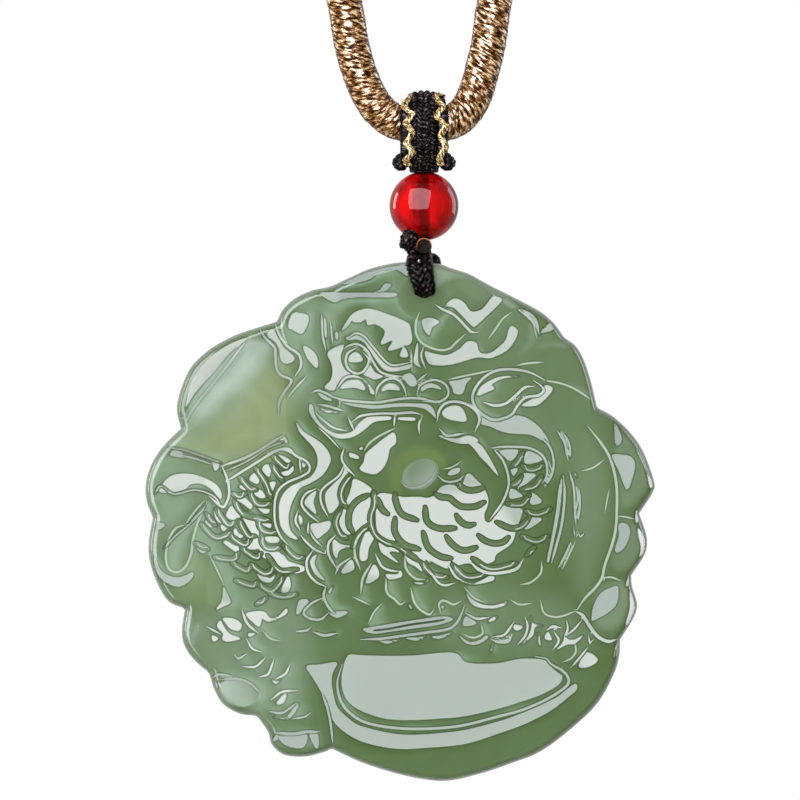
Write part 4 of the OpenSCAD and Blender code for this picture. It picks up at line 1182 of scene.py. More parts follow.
# Thin ridges that catch the light: width, then the line
ridges = {
    "panel": [
        (2.4, [(342, 663), (338, 677), (338, 687), (341, 698), (348, 708), (360, 717), (375, 722),
         (395, 725), (417, 726), (442, 725), (465, 722), (500, 713), (522, 707), (543, 698),
         (557, 690), (566, 683), (568, 677), (563, 669), (550, 661), (546, 656), (536, 654)]),
        (2.0, [(323, 693), (328, 707), (331, 722), (333, 740)]),
    ],
    "wing": [
        (1.6, [(184, 454), (196, 457), (211, 462)]),
        (1.8, [(244, 343), (227, 366), (211, 386), (195, 406), (186, 422)]),
        (2.0, [(261, 329), (266, 337), (275, 346), (276, 354), (277, 367), (282, 374), (292, 379),
         (286, 389), (280, 400), (279, 413)]),
    ],
    "leg band": [
        (2.0, [(223, 465), (228, 477), (230, 490), (228, 499), (223, 505), (211, 495)]),
        (2, [(223, 464), (250, 454), (283, 434)]),
        (2, [(228, 479), (252, 464), (275, 450), (285, 448), (300, 455)]),
    ],
    "strap": [(2.2, [(362, 637), (383, 636), (404, 633), (426, 630), (446, 627), (455, 622),
        (460, 614), (464, 604)])],
    "edge": [(3.0, [(575, 609), (582, 613), (589, 624), (597, 634), (607, 639), (616, 637)])],
    "thigh": [
        (2.0, [(430, 569), (438, 580), (445, 583), (453, 581)]),
        (2.0, [(449, 564), (455, 574), (460, 577)]),
        (2.8, [(471, 561), (480, 568), (494, 571), (515, 567), (522, 558)]),
        (2.0, [(466, 611), (476, 616), (487, 615)]),
        (2.6, [(492, 637), (497, 639), (507, 639), (511, 633)]),
        (2.0, [(494, 634), (504, 632), (513, 620)]),
        (1.8, [(525, 616), (527, 624), (524, 634), (517, 642)]),
        (2.4, [(547, 627), (552, 624), (559, 625)]), (1.8, [(554, 630), (558, 638), (553, 646)]),
        (1.6, [(566, 619), (567, 626), (564, 633)]), (1.6, [(567, 632), (574, 626), (580, 619)]),
        (1.8, [(586, 646), (579, 655), (571, 664)]), (1.4, [(588, 634), (589, 640), (592, 638)]),
    ],
    "paw": [
        (1.4, [(209, 625), (220, 631)]), (2.0, [(243, 609), (248, 621), (257, 629)]),
        (1.6, [(248, 638), (253, 646), (261, 649)]), (1.8, [(236, 653), (239, 656), (246, 652)]),
        (1.8, [(244, 664), (256, 664), (265, 656)]), (1.8, [(261, 674), (269, 671), (274, 658)]),
        (1.8, [(277, 676), (286, 671), (290, 663)]), (1.6, [(186, 612), (182, 624), (184, 634)]),
    ],
    "pearl": [
        (1.1, [(402, 481), (406, 484.5), (413, 486), (422, 484), (430, 478.5), (435, 471),
         (436.5, 466)]), (1.6, [(439, 475), (444, 479), (451, 480), (459, 478), (463, 474)]),
    ],
    "shin and foot": [
        (1.8, [(213, 676), (219, 672), (231, 673)]),
        (1.6, [(222, 677), (237, 676), (251, 681), (260, 690)]), (2.6, [(216, 679), (218, 686)]),
        (1.8, [(273, 696), (283, 689), (297, 688)]), (1.8, [(271, 709), (283, 710), (296, 701)]),
        (1.6, [(294, 716), (305, 714), (311, 710)]),
        (2.4, [(275, 730), (294, 731), (306, 729), (319, 729)]),
    ],
    "strand": [
        (2.0, [(276, 324), (281, 336), (289, 346), (297, 351), (301, 357), (301, 366), (296, 374)]),
        (1.6, [(306, 376), (294, 389), (289, 396)]),
    ],
    "mane": [
        (1.8, [(270, 451), (278, 448), (289, 447), (296, 454), (305, 458), (310, 464), (309, 470),
         (301, 475), (289, 480), (280, 487), (276, 497), (275, 510), (276, 522), (281, 534),
         (288, 542)]), (1.6, [(300, 457), (301, 469)]), (1.2, [(319, 426), (329, 435), (339, 446)]),
    ],
    "beard": [(1.8, [(344, 447), (342, 457), (347, 466), (354, 473)])],
    "scroll": [
        (1.8, [(344, 464), (339, 474), (326, 484), (321, 491), (322, 502), (328, 514)]),
        (1.8, [(316, 487), (306, 492), (302, 502), (309, 512), (318, 519)]),
        (1.8, [(298, 510), (296, 519), (300, 527)]), (1.8, [(309, 521), (308, 530)]),
        (1.8, [(311, 530), (314, 536), (321, 543)]),
        (1.8, [(302, 534), (307, 540), (315, 547), (324, 551)]),
    ],
    "chest rings": [
        (2.0, [(312, 550), (307, 559), (309, 571), (317, 580), (326, 584)]),
        (2.0, [(335, 534), (329, 541), (329, 552), (336, 565)]),
        (1.8, [(350, 556), (340, 563), (336, 571)]),
        (2.0, [(376, 553), (382, 564), (390, 568), (398, 569)]),
        (2.2, [(326, 585), (324, 594), (329, 605), (335, 611)]),
        (2.0, [(322, 596), (312, 601), (304, 610), (310, 616), (321, 617), (328, 611)]),
        (2.0, [(298, 629), (307, 628), (311, 625)]), (2.4, [(315, 630), (325, 633), (336, 631)]),
    ],
    "neck": [
        (2.0, [(492, 446), (505, 445), (527, 446), (540, 452), (546, 462), (546, 474), (542, 481)]),
        (1.8, [(543, 438), (550, 447), (553, 461), (551, 473), (545, 484)]),
        (2.0, [(493, 447), (502, 458), (507, 471), (508, 484), (502, 500), (490, 517)]),
    ],
    "flank": [
        (2.2, [(557, 430), (564, 441), (567, 457)]), (1.6, [(562, 431), (568, 441), (570, 455)]),
        (2.2, [(563, 478), (564, 492), (563, 507), (560, 527), (551, 560)]),
        (1.8, [(569, 471), (573, 486), (574, 505), (575, 522)]),
        (1.8, [(578, 487), (579, 500), (578, 516)]), (1.8, [(570, 540), (565, 552), (558, 565)]),
        (1.2, [(573, 526), (574, 534)]), (1.2, [(577, 530), (580, 535), (583, 531)]),
    ],
    "crest": [
        (1.6, [(322, 314), (323, 334), (326, 348)]), (1.4, [(331, 322), (333, 342)]),
        (2.0, [(522, 309), (531, 314), (536, 321), (538, 331)]),
    ],
    "eye": [
        (1.8, [(345, 347), (350, 344), (358, 343), (367, 349), (373, 360), (380, 370), (390, 374),
         (402, 375)]),
        (1.6, [(349, 336), (356, 332), (364, 335), (372, 344), (381, 355), (388, 362), (395, 364),
         (410, 361)]),
        (1.8, [(364, 352), (369, 358), (367, 365), (362, 371), (356, 372), (349, 368), (346, 360),
         (348, 352), (356, 347)]),
    ],
    "mouth": [
        (1.8, [(338, 386), (345, 377), (354, 375), (362, 377)]),
        (1.8, [(376, 394), (378, 386), (385, 379), (393, 377), (400, 380), (404, 386), (406, 393)]),
        (1.8, [(417, 392), (420, 384), (430, 379), (437, 379), (444, 382), (448, 388), (447, 395),
         (439, 400), (425, 400)]),
        (2.0, [(332, 395), (347, 399), (375, 401), (390, 399), (404, 397), (420, 397), (438, 401)]),
        (1.8, [(313, 391), (319, 389), (329, 393), (334, 396)]),
        (1.8, [(320, 403), (330, 405), (343, 409)]), (1.8, [(340, 399), (340, 404)]),
        (1.6, [(317, 412), (324, 419), (334, 426), (346, 429)]),
        (2.0, [(354, 419), (362, 414), (380, 412), (395, 412), (412, 411), (421, 413)]),
        (1.8, [(349, 417), (354, 428)]), (1.6, [(395, 414), (394, 424)]),
        (1.6, [(422, 416), (419, 422), (419, 431)]),
    ],
    "cheek": [
        (1.6, [(417, 380), (426, 373)]),
        (2.2, [(437, 419), (439, 409), (445, 402), (455, 400), (467, 403), (476, 410), (479, 419),
         (475, 429)]), (2.0, [(440, 428), (447, 434), (462, 432)]),
    ],
    "nose": [
        (1.6, [(423, 347), (421, 355), (425, 366)]),
        (2.2, [(436, 304), (442, 308), (454, 314), (466, 326), (471, 331), (477, 331)]),
    ],
    "ear": [
        (2.2, [(545, 379), (529, 371), (512, 368), (497, 369), (485, 375), (476, 385), (472, 395),
         (474, 404), (481, 412), (493, 418), (505, 416), (512, 412), (517, 404), (525, 396),
         (537, 394), (543, 389), (540, 384), (534, 380)]),
        (2.4, [(484, 401), (494, 404), (505, 402), (515, 394), (524, 386), (532, 385)]),
    ],
}
# Ridges whose faint glint is painted into the colour as a pale line instead of mirroring the light
painted_glint_ridges = {
    "tail": [
        (1.6, [(187, 521), (196, 509), (204, 500)]),
        (2.0, [(187, 523), (177, 526), (170, 537), (167, 552), (169, 565), (177, 570), (186, 565),
         (192, 552), (194, 537), (200, 517), (207, 501)]),
        (1.4, [(211, 554), (218, 568), (224, 581)]),
    ],
    "crest": [
        (1.2, [(524, 313), (532, 321), (536, 336)]),
        (1.6, [(544, 379), (560, 382), (575, 388), (590, 398)]),
    ],
    "chest rings": [
        (2.0, [(411, 587), (414, 599), (420, 607), (429, 612), (433, 608)]),
        (2.0, [(371, 562), (363, 576), (361, 590)]),
        (2.0, [(386, 577), (387, 590), (395, 597), (400, 602), (404, 600)]),
        (2.0, [(405, 552), (406, 566), (415, 576), (424, 577)]),
        (2.0, [(362, 530), (356, 540), (355, 552), (360, 566)]), (1.4, [(354, 595), (369, 602)]),
        (1.4, [(381, 602), (374, 610), (369, 620)]),
    ],
    "edge": [
        (2.4, [(588, 426), (600, 441), (609, 456), (614, 473), (616, 489), (616, 506), (615, 526),
         (611, 543), (604, 563), (601, 576), (594, 586), (584, 596), (576, 608)]),
        (1.4, [(636, 448), (642, 460), (647, 472)]), (1.4, [(617, 514), (625, 515), (633, 517)]),
        (1.6, [(602, 576), (610, 575), (619, 578)]),
    ],
    "flank": [
        (1.6, [(540, 599), (543, 610), (551, 614), (560, 614), (574, 609)]),
        (1.6, [(582, 469), (592, 466), (602, 459)]), (1.4, [(574, 541), (568, 553), (562, 566)]),
        (1.2, [(608, 489), (604, 510)]),
    ],
    "thigh": [
        (1.6, [(541, 560), (540, 571), (530, 580), (521, 582)]),
        (1.6, [(465, 586), (473, 595), (482, 599)]), (1.6, [(511, 598), (519, 602), (530, 601)]),
        (1.8, [(440, 609), (439, 601), (444, 598), (453, 602), (460, 599)]),
        (1.6, [(464, 632), (473, 635), (482, 631), (481, 622)]),
        (1.6, [(574, 640), (575, 649), (570, 656), (563, 659)]),
    ],
    "paw": [(1.6, [(264, 629), (271, 636), (279, 638)])],
    "pearl": [(1.2, [(444, 467), (450, 466), (456, 463), (460, 460)])],
    "strand": [(1.6, [(282, 320), (283, 331), (287, 340)])],
    "beard": [(1.8, [(394, 427), (380, 434), (370, 441), (365, 448)])],
    "nose": [
        (1.8, [(419, 312), (416, 321), (416, 332), (421, 341), (432, 347), (442, 349), (450, 347),
         (456, 341), (464, 334)]), (1.6, [(411, 350), (412, 368)]),
        (1.6, [(510, 312), (502, 318), (495, 328), (489, 336)]),
    ],
    "brow": [
        (1.6, [(449, 378), (462, 375), (477, 372), (490, 369)]),
        (1.8, [(517, 364), (527, 362), (541, 361)]),
    ],
}
ridge_list = [(width, sign, line) for sign, groups in ((1, ridges), (-1, painted_glint_ridges))
              for group in groups.values() for width, line in group]
# Deeper cuts between the forms: width, depth in millimetres, then the line
cuts = {
    "strap, middle": (2.2, 0.06, [(374, 628), (390, 626), (411, 622), (433, 619), (444, 617)]),
    "tail, stem": (2.4, 0.06, [(190, 522), (198, 511), (206, 501)]),
    "wing, foot": (4, 0.1, [(170, 446), (184, 448), (202, 454), (222, 461)]),
    "leg band": (4, 0.1, [(224, 470), (248, 459), (268, 446), (284, 440)]),
    "tail": (4, 0.14, [(156, 492), (162, 484), (175, 492), (196, 488), (214, 494), (222, 505)]),
    "tail, under": (4, 0.12, [(206, 505), (190, 522), (176, 534), (165, 546)]),
}
# The scales, each cut with one short round-bottomed stroke
scales = {
    "chest": [
        [(351, 472), (343, 484), (341, 494), (346, 505)],
        [(368, 493), (357, 499), (350, 509), (349, 522), (353, 530)],
        [(341, 507), (336, 519), (340, 531), (347, 536)], [(368, 523), (358, 533), (353, 545)],
        [(378, 497), (382, 507), (388, 512)], [(395, 492), (396, 500), (402, 512), (417, 518)],
        [(425, 505), (427, 519), (438, 526), (455, 526)],
        [(446, 534), (451, 541), (459, 547), (467, 548), (476, 545)],
        [(435, 492), (441, 495), (449, 496), (454, 500), (460, 504), (468, 505), (476, 504),
         (484, 500)], [(457, 481), (461, 485), (467, 488), (475, 488), (483, 486)],
        [(395, 516), (395, 530), (404, 542), (419, 547)],
        [(374, 490), (374, 503), (371, 512), (371, 522), (376, 533), (386, 540), (396, 543),
         (408, 551), (418, 558)], [(423, 530), (428, 545), (440, 554), (451, 556)],
        [(456, 513), (460, 519), (467, 523), (474, 522)],
        [(478, 533), (484, 538), (493, 541), (502, 540), (508, 535)],
        [(472, 556), (490, 566), (515, 561)], [(421, 560), (432, 572), (447, 575)],
        [(452, 562), (466, 574), (485, 572)], [(522, 451), (517, 460), (511, 465)],
        [(522, 464), (530, 468), (543, 464)], [(521, 474), (516, 481), (509, 483)],
        [(541, 474), (534, 484), (521, 487)], [(529, 493), (521, 502), (507, 502)],
        [(525, 509), (536, 512), (550, 507)], [(529, 515), (521, 524), (510, 526), (496, 520)],
        [(521, 534), (535, 539), (547, 534)], [(534, 545), (526, 553)],
    ],
    "haunch": [
        [(240, 475), (250, 486), (257, 488)], [(250, 490), (258, 502), (271, 502)],
        [(235, 499), (244, 512), (262, 517), (270, 519)], [(256, 466), (266, 481), (271, 496)],
        [(273, 454), (285, 465), (291, 463)], [(272, 463), (283, 479)],
        [(217, 507), (228, 522), (236, 520)], [(207, 512), (216, 523)],
        [(202, 522), (216, 535), (232, 531)], [(239, 518), (248, 533), (256, 534)],
        [(230, 533), (244, 542), (251, 538)], [(242, 546), (256, 555), (262, 551)],
        [(215, 555), (233, 557), (239, 551)], [(258, 518), (263, 528), (277, 531)],
        [(233, 492), (241, 494), (246, 491)], [(262, 533), (263, 541), (268, 546), (280, 546)],
        [(284, 543), (295, 554), (304, 556)], [(268, 553), (280, 568), (298, 567)],
        [(233, 561), (246, 568), (252, 565)], [(251, 562), (265, 571), (275, 566)],
        [(236, 578), (252, 583), (258, 580)], [(259, 582), (272, 588), (284, 575)],
        [(270, 591), (283, 594), (297, 592)], [(257, 602), (267, 596)], [(196, 541), (209, 547)],
    ],
}
SHEET = (140, 250, 662, 786)
sheet_x, sheet_y = np.meshgrid(np.arange(SHEET[0], SHEET[2] + 1.0),
                               np.arange(SHEET[1], SHEET[3] + 1.0))


def fall(degrees):
    """How much a face that leans this much drops over one square, in millimetres."""
    return -0.1 * np.tan(np.radians(degrees))


def on_form(mid_x, mid_y, half_wide, half_high, turn):
    """Where the places of the sheet lie on a turned form, whose edges are at 1 and -1."""
    c, s = math.cos(math.radians(turn)), math.sin(math.radians(turn))
    x, y = sheet_x - mid_x, sheet_y - mid_y
    return (x * c + y * s) / half_wide, (y * c - x * s) / half_high, c, s


base = np.full(sheet_x.shape, FLOOR)
for *placed, high, square, rounded in forms.values():
    u, v, _, _ = on_form(*placed)
    r = (np.abs(u) ** square + np.abs(v) ** square) ** (1 / square)
    e = np.clip((r - 1 + rounded) / rounded, 0, 1)
    base = np.maximum(base, FLOOR + high * np.sqrt(1 - e * e) * (r < 1))

lean_x = np.full(sheet_x.shape, fall(GREEN[0]))
lean_y = np.full(sheet_x.shape, fall(GREEN[1]))
hold = np.ones(sheet_x.shape)


def beside(points, closed, reach):
    """The places of the sheet near a line and their distances, negative outside a closed line."""
    line = drawn(points, closed)
    spot = near(sheet_x, sheet_y, line, reach)
    d = away_from(sheet_x[spot], sheet_y[spot], line, closed)[0]
    return spot, np.where(inside(sheet_x[spot], sheet_y[spot], line), d, -d) if closed else d


def let_go(spot, free, least=0.05):
    """Lets the surface break where it is free, so that an edge can be sharp."""
    hold[spot] = np.minimum(hold[spot], np.clip(free, least, 1))


def lean_inside(points, right, down, soft, reach):
    """Leans the places inside an outline, with a soft or a sharp border."""
    spot, d = beside(points, True, reach)
    share = np.clip(0.5 + d / soft, 0, 1)
    lean_x[spot] += (fall(right) - lean_x[spot]) * share
    lean_y[spot] += (fall(down) - lean_y[spot]) * share
    if soft < 3:
        let_go(spot, np.abs(d + 0.8) - 0.4)


for right, down, soft, line in leans.values():
    lean_inside(line, right, down, soft, soft)
# No two hand-cut places lean quite alike
ripple = (np.sin(sheet_x / 9.1 + 2.2 * np.sin(sheet_y / 13.7))
          * np.sin(sheet_y / 7.3 + 1.9 * np.sin(sheet_x / 11.9)))
drift = np.sin(sheet_x / 31 + 1.3 * np.sin(sheet_y / 43)) * np.sin(sheet_y / 37)
lean_x += fall(1) * (0.9 * ripple + 0.8 * drift)
lean_y += fall(1) * (0.9 * np.roll(ripple, 5, axis=1) + 0.8 * drift)
for *placed, steep, tilt in domes.values():
    u, v, c, s = on_form(*placed)
    r = np.hypot(u, v)
    on_it = r < 1
    lean_x[on_it] = fall(steep * (u * c - v * s) + tilt)[on_it]
    lean_y[on_it] = fall(steep * (u * s + v * c))[on_it]
    hold[np.abs(r - 1) * min(placed[2:4]) < 1.2] = 0.05
# The shading follows these soft leans. The sheet also takes the facets and the ridges
soft_x, soft_y = lean_x.copy(), lean_y.copy()
for line in facet_list:
    lean_inside(line, 0, 0.5, 1.2, 3)
for width, _, line in ridge_list:
    spot, d = beside(line, False, 5)
    share = np.clip(width / 2 - d + 0.5, 0, 1)
    lean_x[spot] *= 1 - share
    lean_y[spot] *= 1 - share
    let_go(spot, np.abs(d - width / 2 - 0.8) - 0.2)
for width, _, line in cuts.values():
    spot, d = beside(line, False, 5)
    let_go(spot, d - width / 2 + 0.5, 0.02)

# The surface that keeps these leans as well as it can, and stays near the low forms
HOLE_ROOM = 34
hole_near = np.hypot(sheet_x - HOLE_AT[0], sheet_y - HOLE_AT[1])
stiff = 1 / 45 ** 2 + 0.02 * np.clip(1 - hole_near / HOLE_ROOM, 0, 1) ** 2
hold_x = np.minimum(hold[:, 1:], hold[:, :-1])
hold_y = np.minimum(hold[1:], hold[:-1])
fall_x = (lean_x[:, 1:] + lean_x[:, :-1]) / 2
fall_y = (lean_y[1:] + lean_y[:-1]) / 2


def gathered(dx, dy, sign=-1):
    """What the places get from the steps between them: the far end adds, the near end takes."""
    made = np.zeros(sheet_x.shape)
    made[:, 1:] += dx
    made[:, :-1] += sign * dx
    made[1:] += dy
    made[:-1] += sign * dy
    return made


def pull(h):
    """How hard a height sheet pulls at each place."""
    return stiff * h + gathered(hold_x * np.diff(h), hold_y * np.diff(h, axis=0))


front = base.copy()
weight = stiff + gathered(hold_x, hold_y, 1)
rest = stiff * base + gathered(hold_x * fall_x, hold_y * fall_y) - pull(front)
step = rest / weight
way = step.copy()
power = (rest * step).sum()
for _ in range(420):
    moved = pull(way)
    size = power / (way * moved).sum()
    front += size * way
    rest -= size * moved
    step = rest / weight
    fresh = (rest * step).sum()
    way = step + way * (fresh / power)
    power = fresh
front = np.clip(front, 2.2, 5.9)
front = np.minimum(front, 3.66 + np.clip(hole_near - 12, 0, None) ** 2 * 0.002)


def blurred(sheet, reach):
    """The sheet averaged three times over squares of its neighbours."""
    made = sheet.copy()
    for _ in range(3):
        for axis in (0, 1):
            pads = [(reach + 1, reach) if k == axis else (0, 0) for k in (0, 1)]
            sums = np.cumsum(np.pad(made, pads, mode="edge"), axis=axis)
            high = np.take(sums, range(2 * reach + 1, sums.shape[axis]), axis=axis)
            low = np.take(sums, range(sums.shape[axis] - 2 * reach - 1), axis=axis)
            made = (high - low) / (2 * reach + 1)
    return made


# Painted light and shade: what stands over its neighbours is painted paler, and what lies under
# them is painted deeper green
shape = sum(np.clip((front - blurred(front, reach)) / high, -1, 1) * 0.5
            for reach, high in ((5, 0.10), (14, 0.30)))
# Painted sheets: pale holds the painted sheen, more the painted highlight and less the painted
# shade of the facets; matt is the roughness and warm the yellow glow
matt, pale, warm, more, less = np.zeros((5,) + sheet_x.shape)
for sheet, places in ((matt, satin), (pale, painted_sheen), (warm, glowing), (more, painted_brighter),
                      (less, painted_duller)):
    for share, soft, line in places.values():
        spot, d = beside(line, True, soft)
        sheet[spot] = np.maximum(sheet[spot], share * eased(0.5 + d / soft))


def groove(d, along, whole, width, depth):
    """A cut with a narrow flat bottom and rounded sides, which thins out at its ends."""
    taper = np.clip(np.minimum(along, whole - along) / 3.5 + 0.35, 0, 1)
    half = width / 2 * (0.5 + 0.5 * taper)
    t = np.clip((d / half - 0.22) / 0.78, 0, 1)
    return depth * taper * np.cos(t * math.pi / 2) ** 2 * (d < half)


SCALE_WIDE = 7.0
SCALE_DEEP = 0.17
cut_list = [(width, depth, drawn(line)) for width, depth, line in cuts.values()]
cut_list += [(SCALE_WIDE, SCALE_DEEP, drawn(line)) for rows in scales.values() for line in rows]


def sampled(sheet, x, y):
    """Reads a sheet of values at any places of the drawing."""
    fx = np.clip(x - SHEET[0], 0, sheet_x.shape[1] - 1.001)
    fy = np.clip(y - SHEET[1], 0, sheet_x.shape[0] - 1.001)
    ix, iy = fx.astype(int), fy.astype(int)
    tx, ty = fx - ix, fy - iy
    return ((sheet[iy, ix] * (1 - tx) + sheet[iy, ix + 1] * tx) * (1 - ty)
            + (sheet[iy + 1, ix] * (1 - tx) + sheet[iy + 1, ix + 1] * tx) * ty)


out_angle = np.arctan2(outline[:, 1] - MIDDLE[1], outline[:, 0] - MIDDLE[0])
order = np.argsort(out_angle)
out_angle = out_angle[order]
out_reach = np.hypot(outline[:, 0] - MIDDLE[0], outline[:, 1] - MIDDLE[1])[order]
smooth_reach = np.mean([np.interp(out_angle + turn, out_angle, out_reach, period=2 * math.pi)
                        for turn in np.linspace(-0.25, 0.25, 21)], axis=0)


def on_sheet(u, v):
    """Where a place of the square grid lies on the drawing."""
    x = u * np.sqrt(1 - v * v / 2)
    y = v * np.sqrt(1 - u * u / 2)
    r = np.hypot(x, y)
    a = np.arctan2(y, x)
    full = np.interp(a, out_angle, out_reach, period=2 * math.pi)
    soft = np.interp(a, out_angle, smooth_reach, period=2 * math.pi)
    reach = r * (soft + (full - soft) * r ** 5)
    return MIDDLE[0] + reach * np.cos(a), MIDDLE[1] + reach * np.sin(a)


# A square sheet, split finer where the carving is fine, then laid on the drawing
detail = front.copy()
for width, depth, line in cut_list:
    spot = near(sheet_x, sheet_y, line, width)
    d, along, whole, _, _ = away_from(sheet_x[spot], sheet_y[spot], line)
    detail[spot] -= groove(d, along, whole, width, depth)
bend = np.zeros(detail.shape)
bend[1:-1, 1:-1] = np.abs(detail[1:-1, 2:] + detail[1:-1, :-2] + detail[2:, 1:-1]
                          + detail[:-2, 1:-1] - 4 * detail[1:-1, 1:-1])
bend[:, 1:] += np.abs(np.diff(lean_x)) + np.abs(np.diff(lean_y))
bend[1:] += np.abs(np.diff(lean_x, axis=0)) + np.abs(np.diff(lean_y, axis=0))
for _ in range(2):
    bend = np.maximum.reduce([bend] + [np.roll(bend, move, axis=(0, 1)) * 0.9
                                       for move in ((0, 1), (0, -1), (1, 0), (-1, 0))])

GRID = 104
FINE_SHARE = 0.33
bm = bmesh.new()
bmesh.ops.create_grid(bm, x_segments=GRID, y_segments=GRID, size=1)
bmesh.ops.subdivide_edges(bm, edges=bm.edges, cuts=1, use_grid_fill=True)
mids = np.array([f.calc_center_median()[:2] for f in bm.faces])
px, py = on_sheet(mids[:, 0], mids[:, 1])
need = bend[np.clip((py - SHEET[1]).round().astype(int), 0, bend.shape[0] - 1),
            np.clip((px - SHEET[0]).round().astype(int), 0, bend.shape[1] - 1)]
least = np.quantile(need, 1 - FINE_SHARE)
fine_edges = list({e for f, n in zip(bm.faces, need) if n > least for e in f.edges})
bmesh.ops.subdivide_edges(bm, edges=fine_edges, cuts=1, use_grid_fill=True)
places = np.array([v.co[:2] for v in bm.verts])
px, py = on_sheet(places[:, 0], places[:, 1])
e = 1 - np.clip(away_from(px, py, outline, True)[0] / RIM_ROUND, 0, 1)
high = RIM_HALF + (sampled(front, px, py) - RIM_HALF) * np.sqrt(1 - e * e)
for v, x, y, h in zip(bm.verts, px, py, high):
    v.co = ((x - HOLE_AT[0]) * SQUARE, -h * 0.001, HOLE_Z * 0.001 + (HOLE_AT[1] - y) * SQUARE)
# The rim is drawn back round the edge, and the plain back closes it
OUT_REACH = 254
edges = [e for e in bm.edges if e.is_boundary]
mid = Vector(((MIDDLE[0] - HOLE_AT[0]) * SQUARE, 0,
              HOLE_Z * 0.001 + (HOLE_AT[1] - MIDDLE[1]) * SQUARE))
gone_in = 0.0
for turned in np.linspace(0, math.pi / 2, 7):
    drawn_in = RIM_ROUND * 1.2 * (1 - math.cos(turned)) / OUT_REACH
    made = bmesh.ops.extrude_edge_only(bm, edges=edges)["geom"]
    share = (1 - drawn_in) / (1 - gone_in)
    gone_in = drawn_in
    for v in (g for g in made if isinstance(g, bmesh.types.BMVert)):
        v.co = mid + (v.co - mid) * share
        v.co.y = (RIM_HALF + (BACK_FLAT - RIM_HALF) * math.sin(turned)) * 0.001
    edges = [g for g in made if isinstance(g, bmesh.types.BMEdge) and g.is_boundary]
bmesh.ops.holes_fill(bm, edges=edges, sides=0)

stone, tree, shader = principled("jade_stone")


def rise(value, low, high):
    """0 below the first value, 1 above the second and smooth between them."""
    return spread(value, sorted((low, high)), (float(low > high), float(low < high)))


def lost(value, share=1.0):
    """What a socket's value, or a share of it, leaves of 1."""
    return sum_of("SUBTRACT", 1.0, value if share == 1 else sum_of("MULTIPLY", value, share))


def held(name):
    """The one value that the mesh holds under a name."""
    return node(tree, "ShaderNodeAttribute", attribute_name=name).outputs["Fac"]


def split(name):
    """The three values that the mesh holds under one name."""
    three = node(tree, "ShaderNodeAttribute", attribute_name=name).outputs["Vector"]
    return node(tree, "ShaderNodeSeparateXYZ", {0: three}).outputs


# Ridges: which side of its line a place is, how far from it, and the ridge's half width
side_of, away, half = split("ridge")
is_painted_glint = sum_of("LESS_THAN", half, 0.0)
half = sum_of("ABSOLUTE", half)
over = sum_of("SUBTRACT", sum_of("ABSOLUTE", side_of), half)
by_line = rise(sum_of("SUBTRACT", away, half), 1.9, 1.1)
ridge_seen = sum_of("MULTIPLY", rise(over, 0.45, -0.35), by_line)
painted_glint_line = sum_of("MULTIPLY", ridge_seen, is_painted_glint)
ridge_lit = sum_of("SUBTRACT", ridge_seen, painted_glint_line)
ridge_edge = sum_of("ABSOLUTE", sum_of("SUBTRACT", over, 1.0))
ridge_edge = sum_of("MULTIPLY", rise(ridge_edge, 0.9, 0.1), by_line)
ridge_edge = sum_of("MULTIPLY", ridge_edge, lost(is_painted_glint, 0.5))
# Strokes: how far a place is from the bright bottom of the cut, and from the cut's edge
bottom, brink, _ = split("stroke")
in_stroke = rise(brink, 0.5, -0.4)
stroke_lit = sum_of("MULTIPLY", rise(sum_of("ABSOLUTE", bottom), 0.95, 0.3),
                    rise(brink, -0.9, -1.5))
stroke_edge = rise(sum_of("ABSOLUTE", sum_of("ADD", brink, 0.3)), 1.0, 0.2)
# Facets: how far inside its outline a place is
flat = held("facet")
stroke_lit = sum_of("MULTIPLY", stroke_lit, lost(rise(flat, 0.0, 1.5), 0.75))
facet_lit = sum_of("MULTIPLY", rise(flat, -0.5, 0.5), rise(in_stroke, 0.7, 0.2))
facet_lit = sum_of("MULTIPLY", facet_lit, rise(ridge_edge, 0.8, 0.2))
facet_edge = rise(sum_of("ABSOLUTE", sum_of("ADD", flat, 1.1)), 1.0, 0.2)
line_lit = sum_of("MAXIMUM", ridge_lit, stroke_lit)
mirror = sum_of("MAXIMUM", facet_lit, line_lit)
# Painted shade: dark lines along the edges of the strokes, the ridges and the facets
dark = sum_of("MAXIMUM", stroke_edge, sum_of("MULTIPLY", ridge_edge, 0.8))
dark = sum_of("MAXIMUM", sum_of("MULTIPLY", facet_edge, 0.6), dark)
dark = sum_of("MULTIPLY", dark, lost(line_lit))

# The polished facets face the light, and the rest keeps the soft leans of the carving
facing = node(tree, "ShaderNodeVectorTransform", {0: (0, -1, -0.01)}, vector_type="NORMAL",
              convert_from="OBJECT", convert_to="WORLD").outputs[0]
leaning = node(tree, "ShaderNodeNewGeometry").outputs["Normal"]
turned = node(tree, "ShaderNodeMix", {"Factor": mirror, 4: leaning, 5: facing},
              data_type="VECTOR").outputs[1]
evened = node(tree, "ShaderNodeVectorMath", {0: turned}, operation="NORMALIZE").outputs[0]

# The stone is a little bluer and paler to the left
where = node(tree, "ShaderNodeTexCoord").outputs["Object"]
cloud = node(tree, "ShaderNodeTexNoise", {"Vector": where, "Scale": 62, "Detail": 3,
                                          "Distortion": 0.6}).outputs["Fac"]
to_right = node(tree, "ShaderNodeSeparateXYZ", {0: where}).outputs["X"]
tone = sum_of("SUBTRACT", sum_of("MULTIPLY_ADD", cloud, 0.6, 0.2),
              sum_of("MULTIPLY", to_right, 5.5))
